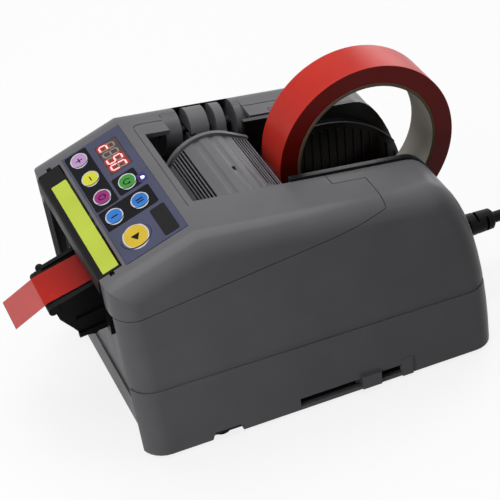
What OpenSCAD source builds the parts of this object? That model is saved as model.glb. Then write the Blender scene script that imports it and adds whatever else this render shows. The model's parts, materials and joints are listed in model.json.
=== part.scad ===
// Desk-top electric tape dispenser: a two-part moulded housing with a sloping key panel,
// a roller feed under a hinged ribbed cover, a guillotine cutter and an open well for the roll.
// Frame: +X to the rear, -X to the tape outlet, +Y to the feed cover's hinge, +Z up, table at Z = 0.

/* [Housing] */
// Width across the side walls
body_w = 138; // [130:1:148]
// Length from the front edge at the table to the rear wall
body_l = 202; // [198:0.5:210]
// Height of the ridge behind the key panel
ridge_h = 126; // [122:1:132]
// Drop from the ridge to the brow at the front of the key panel
brow_drop = 17.2; // [14:0.2:20]
// Level depth of the sloping key panel
panel_run = 48.5; // [46:0.5:52]
// How far the front leans forward from the table to the brow
front_lean = 6; // [3:0.5:8]
// Fall of the top towards the rear, per millimetre of length
top_fall = 0.12; // [0.08:0.01:0.14]
// Length of the rear shoulder seen from the side
shoulder_l = 30; // [28:0.5:34]
// Fullness of the rear shoulder's curve
shoulder_full = 2.1; // [2:0.05:2.4]
// Forward lean of the rear wall, per millimetre of height
rear_lean = 0.034; // [0.02:0.002:0.05]
// Radius of the long outer edges
edge_r = 13; // [9:0.5:15]
// Wall thickness
wall = 2.6; // [2:0.2:3.2]
// Height of the feet below the housing's edge
foot_h = 1.5; // [1:0.5:4]
// Depth of the parting line below the ridge, at the front
seam_drop = 34.4; // [32:0.2:37]
// Rise of the parting line along the side, per millimetre
seam_rise = 0.122; // [0.1:0.002:0.13]
// Gap in the parting line
seam_gap = 0.4; // [0.2:0.1:0.6]

/* [Roll and tape] */
// Outer radius of the tape roll
roll_r = 49.8; // [46:0.2:51]
// Inner radius of the roll's core
core_r = 38.1; // [36:0.1:40]
// Wall of the card core
core_wall = 1.8; // [1:0.2:3]
// Width of the tape
tape_w = 25; // [12:1:46]
// Thickness drawn for the loose tape
tape_t = 0.3; // [0.2:0.05:0.4]
// Distance from the front edge to the roll's axis
roll_back = 156.2; // [154:0.2:160]
// Height of the roll's axis above the table
roll_z = 108.3; // [107:0.1:112]
// Length of tape standing out in front of the housing
tape_reach = 44; // [40:1:50]

/* [Feed] */
// Outer radius of the ribbed feed cover
arch_r = 25.3; // [24:0.1:26]
// Thickness of the feed cover
arch_t = 2.2; // [1.6:0.2:2.6]
// Half width of the feed opening and of the well
slot_half = 33; // [31:0.5:35]
// Radius of the drive roller
drive_r = 12; // [10:0.5:12.5]
// Radius of the pressure roller
press_r = 6.5; // [5:0.5:7]
// Radius of the drive shaft
shaft_r = 3; // [2.5:0.5:4]
// Module of the feed gears
gear_m = 1.2; // [1.1:0.05:1.3]
// Teeth on the drive gear
gear_teeth = 34; // [32:1:36]
// Teeth on the motor pinion
pinion_teeth = 10; // [10:1:12]
// Stroke of the moving blade
cut_stroke = 7; // [5:0.5:8]

/* [Panel] */
// Length of the key membrane along the slope
overlay_l = 35; // [34:0.5:35.5]
// Half width of the key membrane
overlay_half = 52.2; // [50:0.2:54]
// Diameter of the small keys
key_d = 10.4; // [9:0.2:11]
// Diameter of the start key
start_d = 16.4; // [14:0.2:17]
// Distance between neighbouring keys
key_pitch = 19.2; // [18:0.1:20]
// Travel of a key
key_travel = 0.6; // [0.4:0.1:0.8]

/* [Cord] */
// Diameter of the mains lead
cord_d = 6.5; // [6:0.1:7]

/* [Hidden] */

$fn = 64;
run_fit = 0.06;
slide_fit = 0.3;
big = 400;
half_w = body_w / 2;
base_z = foot_h;
brow_h = ridge_h - brow_drop;
seam_h = ridge_h - seam_drop;

// Lengthwise stations
overall_l = tape_reach + roll_back + roll_r;
front_x = tape_reach - overall_l / 2;
rear_x = front_x + body_l;
brow_x = front_x - front_lean;
ridge_x = brow_x + panel_run;
roll_x = front_x + roll_back;
panel_angle = atan((ridge_h - brow_h) / panel_run);
panel_l = panel_run / cos(panel_angle);
shoulder_x = rear_x - shoulder_l;
shoulder_z = base_z + 6;
shoulder_h = top_z(shoulder_x) - shoulder_z;
lip_x = ridge_x + 9;
arch_x = lip_x + arch_r + 3.2;
arch_z = top_z(arch_x) + 0.3 - arch_r;
drive_x = arch_x;
drive_z = arch_z - 4.5;
nip = tape_t + 0.25;
press_z = drive_z + drive_r + press_r + nip;
step_x = roll_x - 33.5;
cover_end_x = roll_x - 15.2;
step_y = 42;

// Cutter stations: the blades meet at cut_x and the tape passes at cut_z
cut_x = brow_x + 20.8;
cut_z = drive_z - 6.6;
blade_t = 1.2;
blade_gap = 0.2;
crank_z = cut_z - 24;
crank_r = cut_stroke / 2;
crank_pin_r = 1.5;
yoke_slack = 0.95;

// Feed hinge line
hinge_r = edge_r - 1;
hinge_y = half_w - edge_r - 1.4;
hinge_z = top_z(arch_x + 10) - (hinge_r + 0.1) / cos(atan(top_fall));
hinge_pin_r = 2.5;
hinge_x0 = arch_x - 16;
hinge_x1 = arch_x + 31.4;
lug_front = 9.2;
lug_rear = 6.5;
arm_a = [arch_x - 1.7, arch_x + 8.8];
arm_b = [arch_x + 13.2, arch_x + 18.5];
spring_room = [arch_x + 19, arch_x + 24.5];

// Front guard line
window_half = 59.5;
guard_half = 50.5;
guard_l = 12.5;
guard_t = 2.4;
guard_pin_x = 7;
guard_pin_lz = -2;
guard_pin_r = 1.3;

// Well and its rollers
plate_t = 3;
plate_inner = slot_half - 7.5;
slot_far = slot_half + 4.3;
sill_h = 66;
floor_z = 46.5;
floor_t = 2.5;
idle_r = 5.6;
idle_angle = 25;
idle_shaft_r = 2;
idle_gap = 0.3;
idle_reach = roll_r + idle_r + idle_gap;

// Rear fittings
gland_y = -10;
gland_z = 38;
gland_r = 4.6;
switch_y = 48;
switch_z = 38;
rear_in = rear_x - wall;
pad_h = 1.2;
gland_x = rear_at(gland_z) + pad_h;
switch_x = rear_at(switch_z) + pad_h;

// Frames that carry the feed
frame_t = 1.5;
frame_y = slot_half;
frame_x0 = cut_x + 2.6;
frame_x1 = arch_x + 29;
apron_x = front_x + 5;
apron_t = 2.5;
base_t = 2.5;
floor_top = base_z + base_t;
motor_angle = -75;
gear_gap = gear_m * (gear_teeth + pinion_teeth) / 2;
motor_x = drive_x + gear_gap * cos(motor_angle);
motor_z = drive_z + gear_gap * sin(motor_angle);
gear_y0 = -frame_y - frame_t - 9;
gear_w = 6;

// Height of the top plane at a station
function top_z(x) = ridge_h - top_fall * (x - ridge_x);
// Point of the rear shoulder: a full curve that leaves the top plane smoothly and runs down the rear
function shoulder_point(a) = let (z = shoulder_h * pow(sin(a), 2 / shoulder_full),
    x = shoulder_l * pow(cos(a), 2 / shoulder_full) - rear_lean * z)
    [shoulder_x + x, shoulder_z + z - top_fall * x];
// Station of the rear wall's outside at a height
function rear_at(z) = let (rise = z - shoulder_z + 0.94 * top_fall * shoulder_l)
    shoulder_x + shoulder_l * pow(1 - pow(rise / shoulder_h, shoulder_full), 1 / shoulder_full) - rear_lean * rise;
// Height of the parting line at a station: level round the front, then rising to the rear
function seam_z(x) = seam_h + seam_rise * max(0, x - front_x - 6)
    + 0.0012 * pow(max(0, x - cover_end_x + 40), 2);
// Point of the circle about c at an angle in the side view
function on_circle(c, r, a) = [c[0] + r * cos(a), c[1] + r * sin(a)];
// Tangent point on a circle seen from p; side is 1 for the left-hand tangent and -1 for the right
function tangent(p, c, r, side) = let (d = p - c)
    on_circle(c, r, atan2(d[1], d[0]) + side * acos(r / norm(d)));

// Colours
grey = "#58585c";
black = "#1b1b1d";
steel = "#b9bcc0";
red_tape = "#c8372d";
pcb_green = "#1f5a38";

// Helpers: bars along an axis, plates drawn in the side view, the panel's own frame
module y_bar(r, y0, y1, x, z) {
    translate([x, y0, z]) rotate([-90, 0, 0]) cylinder(r = r, h = y1 - y0);
}
module x_bar(r, x0, x1, y, z) {
    translate([x0, y, z]) rotate([0, 90, 0]) cylinder(r = r, h = x1 - x0);
}
module side_plate(y0, y1) {
    translate([0, y1, 0]) rotate([90, 0, 0]) linear_extrude(y1 - y0) children();
}
module box(x, y, z) {
    translate([x[0], y[0], z[0]]) cube([x[1] - x[0], y[1] - y[0], z[1] - z[0]]);
}
module both_sides() {
    children();
    mirror([0, 1, 0]) children();
}
module on_panel() {
    translate([brow_x, 0, brow_h]) rotate([0, -panel_angle, 0]) children();
}

// Housing outline seen from the side, carried on below the table so that only its top edges round
outline_low = -40;
outline_lean = front_lean / (brow_h - base_z);
outline = concat([[rear_x + rear_lean * (shoulder_z - outline_low), outline_low]], [for (k = [0 : 14]) shoulder_point(90 * k / 14)],
    [[ridge_x, ridge_h], [brow_x, brow_h], [front_x + outline_lean * (base_z - outline_low), outline_low]]);
function edge_normal(a, b) = [b[1] - a[1], a[0] - b[0]] / norm(b - a);
// Outline drawn in by a depth, with the same number of points
function inset_outline(d) = let (n = len(outline)) [for (i = [0 : n - 1])
    let (p = outline[i], u = edge_normal(outline[(i + n - 1) % n], p), v = edge_normal(p, outline[(i + 1) % n]))
    p - d * (u + v) / (1 + u * v)];
module housing_outline() { polygon(outline); }
// Rounded housing form, drawn in by an inset: outlines laid across the width with rounded shoulders
module housing_form(inset, steps) {
    r = edge_r - inset;
    flat = half_w - edge_r;
    n = len(outline);
    rows = concat([for (k = [-steps : 0]) [-flat, 90 * k / steps]], [for (k = [0 : steps]) [flat, 90 * k / steps]]);
    points = [for (w = rows) each [for (p = inset_outline(edge_r - r * cos(w[1]))) [p[0], w[0] + r * sin(w[1]), p[1]]]];
    last = (len(rows) - 1) * n;
    sides = [for (i = [0 : len(rows) - 2], k = [0 : n - 1]) let (a = i * n + k, b = i * n + (k + 1) % n)
        each [[a, b, b + n], [a, b + n, a + n]]];
    polyhedron(points, concat(sides, [[for (k = [n - 1 : -1 : 0]) k]], [[for (k = [0 : n - 1]) last + k]]));
}
module housing_skin() {
    difference() {
        housing_form(0, 7);
        housing_form(wall, 4);
    }
}
// Region of the top cover: above the parting line, ending in a stepped edge on the shoulders
module cover_region(grow) {
    line = [for (k = [0 : 8]) let (x = front_x + 6 + (cover_end_x - front_x - 6) * k / 8)
        [x + grow, seam_z(x) - grow]];
    side_plate(-big, big) polygon(concat([[-big, seam_h - grow]], line,
        [[cover_end_x + grow, big], [-big, big]]));
}
module cover_step(grow) {
    box([step_x + grow, big], [-step_y + grow, step_y - grow], [0, big]);
}

// Openings shared by the housing parts
module feed_slot() {
    box([lip_x, big], [-slot_half, slot_half], [floor_z - floor_t, big]);
}
module front_window() {
    box([-big, apron_x + 3], [-window_half, window_half], [-1, big]);
}
module well_walls(x0, x1, z0) {
    intersection() {
        housing_form(wall / 2, 4);
        both_sides() box([x0, x1], [slot_half - 1, slot_half + wall], [z0, big]);
    }
}

// Key layout on the panel: distance up the slope and across
overlay_x = (panel_l - overlay_l) - 1.1;
row_front = overlay_x + 7.6;
row_rear = overlay_x + 22.6;
key_y0 = 4.8;
keys = [[row_front, key_y0 + 2 * key_pitch], [row_front, key_y0 + key_pitch],
    [row_front, key_y0], [row_front, key_y0 - key_pitch],
    [row_rear, key_y0], [row_rear, key_y0 - key_pitch]];
start_key = [overlay_x + 11.2, -37.9];
led_at = [overlay_x + 30, 1.1];
display_at = [overlay_x + 24.2, 30.7];
display_size = [12.4, 28];
overlay_t = 0.7;
overlay_sunk = 0.5;
key_proud = 0.5;
board_top = -9;
board_t = 1.6;
switch_h = 3.4;
module key_holes(z0, z1, grow) {
    for (k = keys) translate([k[0], k[1], z0]) cylinder(d = key_d + grow, h = z1 - z0);
    translate([start_key[0], start_key[1], z0]) cylinder(d = start_d + grow, h = z1 - z0);
    translate([led_at[0], led_at[1], z0]) cylinder(d = 3 + grow, h = z1 - z0);
    translate([display_at[0] - display_size[0] / 2 - grow / 2,
        display_at[1] - display_size[1] / 2 - grow / 2, z0])
        cube([display_size[0] + grow, display_size[1] + grow, z1 - z0]);
}

// Room for the hinge: open on top, with a thin shell of the housing's edge left behind the knuckles
module hinge_cut() {
    z0 = -hinge_r - 1.5;
    x = [hinge_x0 + lug_front, hinge_x1 - lug_rear];
    box([hinge_x0 + 1.2, hinge_x1 - 0.8], [slot_half - 2, hinge_y], [hinge_z + z0, big]);
    on_hinge() {
        box(x, [slot_half - 2 - hinge_y, 7.2], [z0, 40]);
        x_bar(hinge_r + 0.5, x[0], x[1], 0, 0);
    }
}
// Frame of the feed cover's hinge: X along the sloping hinge line
module on_hinge() {
    translate([arch_x + 10, hinge_y, hinge_z]) rotate([0, atan(top_fall), 0]) translate([-arch_x - 10, 0, 0])
        children();
}
module fixed_lug(x0, x1) {
    on_hinge() difference() {
        union() {
            x_bar(hinge_r, x0, x1, 0, 0);
            box([x0, x1], [0, hinge_r + 1.4], [0, 3]);
        }
        box([x0 - 1, x1 + 1], [hinge_r - 0.8, hinge_r + 2], [-hinge_r, 0.8]);
        x_bar(hinge_pin_r, x0 - 1, x1 + 1, 0, 0);
    }
}
// Fine groove on the roof, round the front and the far side of the feed opening
contour_x = lip_x - 4;
contour_y = slot_half + 15.5;
contour_r = 4.5;
function contour(grow) = concat([[contour_x - grow, -slot_half - 3]],
    [for (k = [0 : 4]) on_circle([contour_x + contour_r, contour_y - contour_r], contour_r + grow, 180 - 22.5 * k)],
    [[cover_end_x + 5, contour_y + grow]]);
module roof_groove() {
    inner = contour(-0.3);
    translate([0, 0, top_z(0)]) rotate([0, atan(top_fall), 0]) translate([0, 0, -0.45]) linear_extrude(3)
        polygon(concat(contour(0.3), [for (k = [len(inner) - 1 : -1 : 0]) inner[k]]));
}
// Collar along the near side of the feed opening
module cover_collar() {
    intersection() {
        housing_form(wall / 2, 4);
        box([lip_x - wall, step_x], [-slot_half - wall, 1 - slot_half], [top_z(step_x) - 5.5, big]);
    }
}
module board_posts() {
    post_r = 2.6;
    on_panel() for (x = [overlay_x + 1.5, overlay_x + overlay_l - 1], y = [-50, 50])
        translate([x, y, board_top]) cylinder(r = post_r, h = -board_top - wall / 2);
}

module top_cover() {
    color(grey) difference() {
        union() {
            difference() {
                union() {
                    intersection() {
                        housing_skin();
                        cover_region(0);
                    }
                    cover_collar();
                }
                roof_groove();
                hinge_cut();
            }
            fixed_lug(hinge_x0, hinge_x0 + lug_front);
            fixed_lug(hinge_x1 - lug_rear, hinge_x1);
            board_posts();
            both_sides() on_panel() translate([0.8, guard_half + slide_fit, -7])
                cube([guard_l, wall, 7 - wall / 2]);
        }
        cover_step(0);
        feed_slot();
        box([lip_x, step_x + 1], [0, slot_far], [floor_z, big]);
        front_window_cover();
        on_panel() {
            translate([overlay_x - slide_fit, -overlay_half - slide_fit, -overlay_sunk])
                cube([overlay_l + 2 * slide_fit, 2 * (overlay_half + slide_fit), 10]);
            key_holes(-wall - 2, 1, 0.5);
        }
        both_sides() on_panel() translate([guard_pin_x, guard_half - 1, guard_pin_lz]) {
            rotate([-90, 0, 0]) cylinder(r = guard_pin_r + run_fit, h = wall + 1.2);
            translate([-guard_pin_r, 0, 0]) cube([2 * guard_pin_r, wall + 1.2, 8]);
        }
    }
}
// Window in the cover's brow that the guard closes
module front_window_cover() {
    on_panel() translate([-60, -guard_half - slide_fit, -60])
        cube([60 + guard_l + 0.8, 2 * (guard_half + slide_fit), 100]);
}

notch_x = [front_x + 35.2, front_x + 53.2];
slider_x = [front_x + 85.5, front_x + 144.5];
slider_z = [base_z + 2.3, base_z + 7.5];
boss_at = [[front_x + 17, half_w - 12], [rear_x - 9.5, half_w - 14]];
boss_r = 4.5;
screw_r = 1.5;
module body_bosses() {
    both_sides() for (b = boss_at) difference() {
        union() {
            translate([b[0], b[1], floor_top]) cylinder(r = boss_r, h = 18);
            box([b[0] - 1.2, b[0] + 1.2], [b[1], half_w - wall / 2], [floor_top + 3, floor_top + 16]);
        }
        translate([b[0], b[1], 0]) cylinder(r = screw_r, h = floor_top + 16);
    }
}

module lower_body() {
    color(grey) difference() {
        union() {
            housing_skin();
            well_walls(step_x + seam_gap, rear_x - 0.4, floor_z - floor_t - 3);
            both_sides() box([step_x + 4, rear_at(floor_z) - wall / 2], [slot_half - 4, slot_half + 1],
                [floor_z - floor_t - 3, floor_z - floor_t]);
            body_bosses();
            x_bar(9, gland_x - pad_h - wall, gland_x, gland_y, gland_z);
            box([switch_x - pad_h - wall, switch_x], [switch_y - 8.4, switch_y + 8.4], [switch_z - 11.6, switch_z + 11.6]);
            box([slider_x[1], slider_x[1] + 6.3], [-half_w - 0.8, 1 - half_w], [base_z, base_z + 11]);
        }
        difference() {
            cover_region(seam_gap);
            cover_step(seam_gap);
        }
        box([lip_x, step_x + seam_gap], [-step_y, step_y], [seam_h - 4, big]);
        box([-big, big], [-big, big], [-60, base_z]);
        front_window();
        side_plate(-slot_half, slot_half) intersection() {
            offset(delta = -wall + 0.3) housing_outline();
            translate([step_x - 5, floor_z - floor_t]) square([big, sill_h - floor_z + floor_t + 1]);
        }
        box([step_x, big], [-slot_half, slot_half], [sill_h, big]);
        both_sides() side_plate(half_w - 6, half_w + 6) polygon([[notch_x[0], base_z - 1],
            [notch_x[0] + 2, base_z + 4.3], [notch_x[1] - 2, base_z + 4.3], [notch_x[1], base_z - 1]]);
        box(slider_x, [-half_w - 1, -half_w + wall + 1], slider_z);
        x_bar(gland_r, gland_x - 12, gland_x + 1, gland_y, gland_z);
        box([switch_x - 12, switch_x + 1], [switch_y - 6.5, switch_y + 6.5], [switch_z - 9.6, switch_z + 9.6]);
        side_groove();
    }
}
// Shallow groove round the lower walls, falling a little to the rear
module side_groove() {
    z0 = 44.6;
    z1 = 41;
    tall = 3.4;
    difference() {
        side_plate(-big, big) polygon([[front_x - 20, z0], [rear_x + 20, z1], [rear_x + 20, z1 + tall],
            [front_x - 20, z0 + tall]]);
        housing_form(0.7, 5);
    }
}

module base_plate() {
    c = 9;
    x0 = apron_x;
    x1 = rear_in - slide_fit;
    y1 = half_w - wall - slide_fit;
    color(steel) difference() {
        translate([0, 0, base_z]) linear_extrude(base_t) polygon([[x0 + c, -y1], [x1 - c, -y1],
            [x1, c - y1], [x1, y1 - c], [x1 - c, y1], [x0 + c, y1], [x0, y1 - c], [x0, c - y1]]);
        both_sides() for (b = boss_at) translate([b[0], b[1], base_z - 1]) {
            cylinder(r = screw_r + 0.2, h = base_t + 2);
            cylinder(r = 3, h = 2.4);
        }
        for (x = [0 : 7]) box([front_x + 60 + 9 * x, front_x + 64 + 9 * x], [-16, 16], [0, 10]);
    }
}

foot_r = 5.5;
foot_at = [[(notch_x[0] + notch_x[1]) / 2 - 1.5, half_w - 8], [rear_x - 22, half_w - 20]];
module feet() {
    color(black) both_sides() for (f = foot_at) translate([f[0], f[1], 0])
        rotate_extrude() polygon([[0, 0], [foot_r - 0.8, 0], [foot_r, 0.8], [foot_r, base_z], [0, base_z]]);
}

module base_screws() {
    color(steel) both_sides() for (b = boss_at) translate([b[0], b[1], base_z]) {
        translate([0, 0, 0.2]) cylinder(r = 2.8, h = 1.2);
        translate([0, 0, 1.4]) cylinder(r = screw_r - 0.05, h = base_t + 12);
    }
}

apron_half = half_w - edge_r + 5.4;
apron_top = cut_z - 24;
module front_apron() {
    skirt_h = 15;
    color(grey) union() {
        box([apron_x, apron_x + apron_t], [-apron_half, apron_half], [floor_top, apron_top]);
        box([apron_x - 1.2, apron_x + 1], [-guard_half, guard_half], [floor_top, floor_top + skirt_h]);
        both_sides() box([apron_x - 1.2, apron_x + 1], [guard_half - 4, guard_half],
            [floor_top + skirt_h - 1, apron_top]);
    }
}

module overlay() {
    color("#4a5170") on_panel() difference() {
        translate([overlay_x, -overlay_half, -overlay_sunk]) cube([overlay_l, 2 * overlay_half, overlay_t]);
        key_holes(-2, 2, 0.4);
    }
}
module display_window() {
    color("#5a1414") on_panel() translate([display_at[0] - display_size[0] / 2,
        display_at[1] - display_size[1] / 2, -wall + 0.4])
        cube([display_size[0], display_size[1], wall - 0.4 + overlay_t - overlay_sunk]);
}
module key_cap(at, d, tint) {
    flange = 0.8;
    color(tint) on_panel() translate([at[0], at[1], 0]) difference() {
        union() {
            translate([0, 0, -wall - flange - slide_fit]) cylinder(d = d + 1.4, h = flange);
            translate([0, 0, -wall - flange]) cylinder(d = d, h = wall + flange + key_proud);
            translate([0, 0, board_top + switch_h + key_travel + 0.2])
                cylinder(d = 4, h = -board_top - switch_h - wall);
        }
        translate([0, 0, key_proud + 60 - 0.25]) sphere(r = 60, $fn = 96);
    }
}
module key_plus() { key_cap(keys[0], key_d, "#c9a0d8"); }
module key_minus() { key_cap(keys[1], key_d, "#dfdf2a"); }
module key_mode() { key_cap(keys[2], key_d, "#a0307f"); }
module key_memory_front() { key_cap(keys[3], key_d, "#3f8fdf"); }
module key_auto() { key_cap(keys[4], key_d, "#3f9a45"); }
module key_memory_rear() { key_cap(keys[5], key_d, "#3f8fdf"); }
module key_start() { key_cap(start_key, start_d, "#e3bd1c"); }
module indicator_led() {
    color("white") on_panel() translate([led_at[0], led_at[1], board_top]) {
        cylinder(r = 1.9, h = 4);
        cylinder(r = 1.5, h = -board_top + 0.2);
    }
}
module control_board() {
    color(pcb_green) on_panel() {
        translate([overlay_x - 1, -overlay_half, board_top - board_t])
            cube([overlay_l + 2, 2 * overlay_half, board_t]);
        for (k = concat(keys, [start_key])) translate([k[0] - 3, k[1] - 3, board_top - 0.01])
            cube([6, 6, switch_h]);
        translate([display_at[0] - display_size[0] / 2, display_at[1] - display_size[1] / 2, board_top - 0.01])
            cube([display_size[0], display_size[1], -board_top - wall]);
    }
}

// Flap over the cutter: a sloping plate with a rolled front lip and two moulded pins
module front_guard() {
    color(black) on_panel() difference() {
        union() {
            rotate([90, 0, 0]) translate([0, 0, -guard_half]) linear_extrude(2 * guard_half)
                polygon([[guard_l, 0], [1.2, 0], [-0.4, -0.6], [-1.4, -1.8], [-3.4, -8], [-2.6, -8.8],
                    [-1.2, -8.2], [0.8, -3.2], [2.2, -guard_t], [guard_l, -guard_t]]);
            both_sides() translate([guard_pin_x, guard_half - 6, guard_pin_lz]) rotate([-90, 0, 0]) {
                cylinder(r = 2, h = 6);
                cylinder(r = guard_pin_r, h = 6 + slide_fit + wall - 0.4);
            }
        }
        translate([guard_l - 9.6, -48.8, -0.25]) cube([9.2, 85, 1]);
    }
}

// Tray under the outlet: a sloping deck on two gussets, with a round bar across its front
tray_half = 17;
fold_x = front_x - 25.3;
fold_z = cut_z - 10;
tip_x = front_x - tape_reach;
tip_z = cut_z - 19.8;
tail_x = cut_x - 2.2;
tail_z = cut_z - 0.3;
function tail_line(x) = fold_z + (tail_z - fold_z) * (x - fold_x) / (tail_x - fold_x);
tray_drop = 0.4;
module tray_side(y0, y1) {
    side_plate(y0, y1) polygon([[apron_x - 1.3, tail_line(apron_x) - tray_drop],
        [fold_x + 1, tail_line(fold_x + 1) - tray_drop], [fold_x + 3.6, fold_z - 9],
        [fold_x + 10, fold_z - 17], [fold_x + 14, fold_z - 23], [fold_x + 21, fold_z - 24.5],
        [apron_x - 1.3, fold_z - 18]]);
}
// Raised rib on the outside of a gusset
module tray_rib(z, tall) {
    side_plate(tray_half - 1, tray_half + 1.4) polygon([[apron_x - 3, z + tall], [apron_x - 3, z],
        [fold_x + 12, z - 1.5], [fold_x + 12, z - 1.5 + tall * 0.7]]);
}
module outlet_tray() {
    bar_r = 2.4;
    deck_t = 2.2;
    color(black) union() {
        both_sides() tray_side(tray_half - 3, tray_half);
        side_plate(-tray_half + 1, tray_half - 1) polygon([
            [tail_x + 0.3, tail_line(tail_x) - tray_drop], [fold_x + 2, tail_line(fold_x + 2) - tray_drop],
            [fold_x + 2, tail_line(fold_x + 2) - tray_drop - deck_t], [tail_x + 0.3, tail_z - tray_drop - deck_t]]);
        y_bar(bar_r, -tray_half, tray_half, fold_x + 1, fold_z - tray_drop - bar_r);
        y_bar(1.4, tray_half - 1, tray_half + 2.5, fold_x + 5, fold_z - tray_drop);
        translate([fold_x + 5, tray_half + 2.5, fold_z - tray_drop]) sphere(r = 2.3);
        both_sides() {
            tray_rib(fold_z - 13, 5);
            tray_rib(fold_z - 21.5, 3.5);
            side_plate(tray_half - 1.6, tray_half + 1.2) polygon([[apron_x - 2, tail_line(apron_x) + 1.2],
                [fold_x + 5, tail_line(fold_x + 5) + 0.4], [fold_x + 5, fold_z - 4],
                [apron_x - 2, tail_line(apron_x) - 5]]);
        }
        box([apron_x - 3.3, apron_x], [-tray_half - 8, tray_half + 8],
            [fold_z - 22, tail_line(apron_x) - tray_drop - 1]);
    }
}
module tape_tail() {
    color(red_tape) side_plate(-tape_w / 2, tape_w / 2) polygon([[tail_x, tail_z], [fold_x, fold_z],
        [tip_x, tip_z], [tip_x + 0.2, tip_z + tape_t], [fold_x, fold_z + tape_t * 1.1],
        [tail_x, tail_z + tape_t]]);
}

// Cutter: a fixed blade on the feed guide and a frame-shaped moving blade in front of it
module fixed_blade() {
    color(steel) side_plate(-26, 26) polygon([[cut_x, cut_z - 12], [cut_x + blade_t, cut_z - 12],
        [cut_x + blade_t, cut_z - 0.9], [cut_x, cut_z - 0.5]]);
}
module moving_blade() {
    x = [cut_x - blade_gap - blade_t, cut_x - blade_gap];
    leg = [27, 31];
    edge = cut_z + 5.5;
    color(steel) difference() {
        union() {
            side_plate(-leg[1], leg[1]) polygon([[x[0], edge + 11], [x[1], edge + 11],
                [x[1], edge], [x[0], edge + 1.4]]);
            both_sides() box(x, leg, [crank_z - 6, edge + 11]);
            box(x, [-leg[1], leg[1]], [crank_z - 6, crank_z + crank_r + 6]);
        }
        box([x[0] - 1, x[1] + 1], [-crank_r - crank_pin_r - 0.5, crank_r + crank_pin_r + 0.5],
            [crank_z + crank_r - crank_pin_r - yoke_slack, crank_z + crank_r + crank_pin_r + yoke_slack]);
    }
}
module cutter_crank() {
    color(steel) union() {
        x_bar(crank_r + 4.5, cut_x + 3, cut_x + 7, 0, crank_z);
        x_bar(crank_pin_r, cut_x - 2.2, cut_x + 4, 0, crank_z + crank_r);
        x_bar(2, cut_x + 6, cut_x + 12, 0, crank_z);
    }
}
module cutter_motor() {
    can_r = 13;
    x0 = cut_x + 9;
    color("silver") difference() {
        union() {
            x_bar(can_r, x0, x0 + 34, 0, crank_z);
            x_bar(5, x0 - 1.2, x0 + 1, 0, crank_z);
            box([x0 + 2, x0 + 30], [-can_r, can_r], [floor_top, crank_z - 6]);
        }
        x_bar(2 + run_fit, x0 - 2, x0 + 4, 0, crank_z);
    }
}

// Ribbed feed cover: a barrel vault hung on two arms from the hinge at the far side
arch_y = [-slot_half + 0.6, 27];
arch_rim = 0.8;
rim_wide = 2.6;
rim_proud = 0.9;
slot_step = 4.2;
flat_a = 62;
flat_l = 13.2;
flat_step = 1.95;
module arch_slice(y0, y1, r0, r1, a1) {
    difference() {
        intersection() {
            y_bar(r1, y0, y1, arch_x, arch_z);
            side_plate(y0 - 1, y1 + 1) polygon([[arch_x, arch_z - 8], [arch_x, arch_z],
                on_circle([arch_x, arch_z], 60, a1), [arch_x - 60, arch_z + 42]]);
        }
        if (r0 > 0) y_bar(r0, y0 - 1, y1 + 1, arch_x, arch_z);
    }
}
// Flat skirt that runs on from the vault towards the roll
module arch_flat(y, r, along) {
    translate([arch_x, 0, arch_z]) rotate([0, -flat_a, 0]) box(r, y, [-along[1], -along[0]]);
}
// Soft valley and narrow slot along the vault
module arch_valley(a) {
    r = 4;
    c = on_circle([arch_x, arch_z], arch_r - arch_rim + r - 0.7, a);
    y_bar(r, arch_y[0] - 1, arch_y[1] - rim_wide, c[0], c[1]);
}
module arch_slot(a) {
    translate([arch_x, 0, arch_z]) rotate([0, -a, 0])
        box([arch_r - 8, arch_r + 4], [arch_y[0] + 8, arch_y[1] - rim_wide - 0.6], [-0.5, 0.5]);
}
module cover_arm(x0, x1) {
    on_hinge() difference() {
        union() {
            x_bar(hinge_r, x0, x1, 0, 0);
            box([x0, x1], [arch_y[1] - 1.5 - hinge_y, 0], [-3.5, 2]);
        }
        x_bar(hinge_pin_r + run_fit, x0 - 1, x1 + 1, 0, 0);
    }
}
module feed_cover() {
    color(grey) difference() {
        union() {
            arch_slice(arch_y[0], arch_y[1], arch_r - arch_rim - arch_t, arch_r - arch_rim, flat_a - 1);
            arch_slice(arch_y[1] - rim_wide, arch_y[1], arch_r - arch_t - 1, arch_r + rim_proud, flat_a - 1);
            arch_flat([arch_y[0] + 3.4, arch_y[1]], [arch_r - arch_rim - arch_t, arch_r - arch_rim], [-0.6, flat_l]);
            arch_flat([arch_y[1] - rim_wide, arch_y[1]], [arch_r - arch_t - 1, arch_r + rim_proud], [-0.6, flat_l]);
            difference() {
                union() {
                    arch_slice(arch_y[0], arch_y[0] + 2.4, 0, arch_r - arch_rim, flat_a - 22);
                    arch_slice(arch_y[1] - 2.4, arch_y[1], 0, arch_r - 0.3, flat_a - 22);
                }
                box([arch_x - 40, arch_x + 40], [-60, 60], [0, press_z - 4.5]);
            }
            cover_arm(arm_a[0], arm_a[1]);
            cover_arm(arm_b[0], arm_b[1]);
        }
        y_bar(2, -60, 60, arch_x, press_z);
        for (k = [0 : 5]) arch_slot(143.5 - slot_step * k);
        for (a = [103, 82.5, 64]) arch_valley(a);
        for (k = [0 : 4]) arch_flat([arch_y[0] + 7, arch_y[1] - rim_wide - 0.6], [arch_r - 8, arch_r + 4],
            [3.3 + flat_step * k, 4.4 + flat_step * k]);
        box([arch_x + 2, arch_x + 3.8], [-11, -7], [press_z + press_r + 1, big]);
    }
}
module hinge_pin() {
    color(steel) on_hinge() x_bar(hinge_pin_r, hinge_x0 + 0.5, hinge_x1 - 0.5, 0, 0);
}

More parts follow.
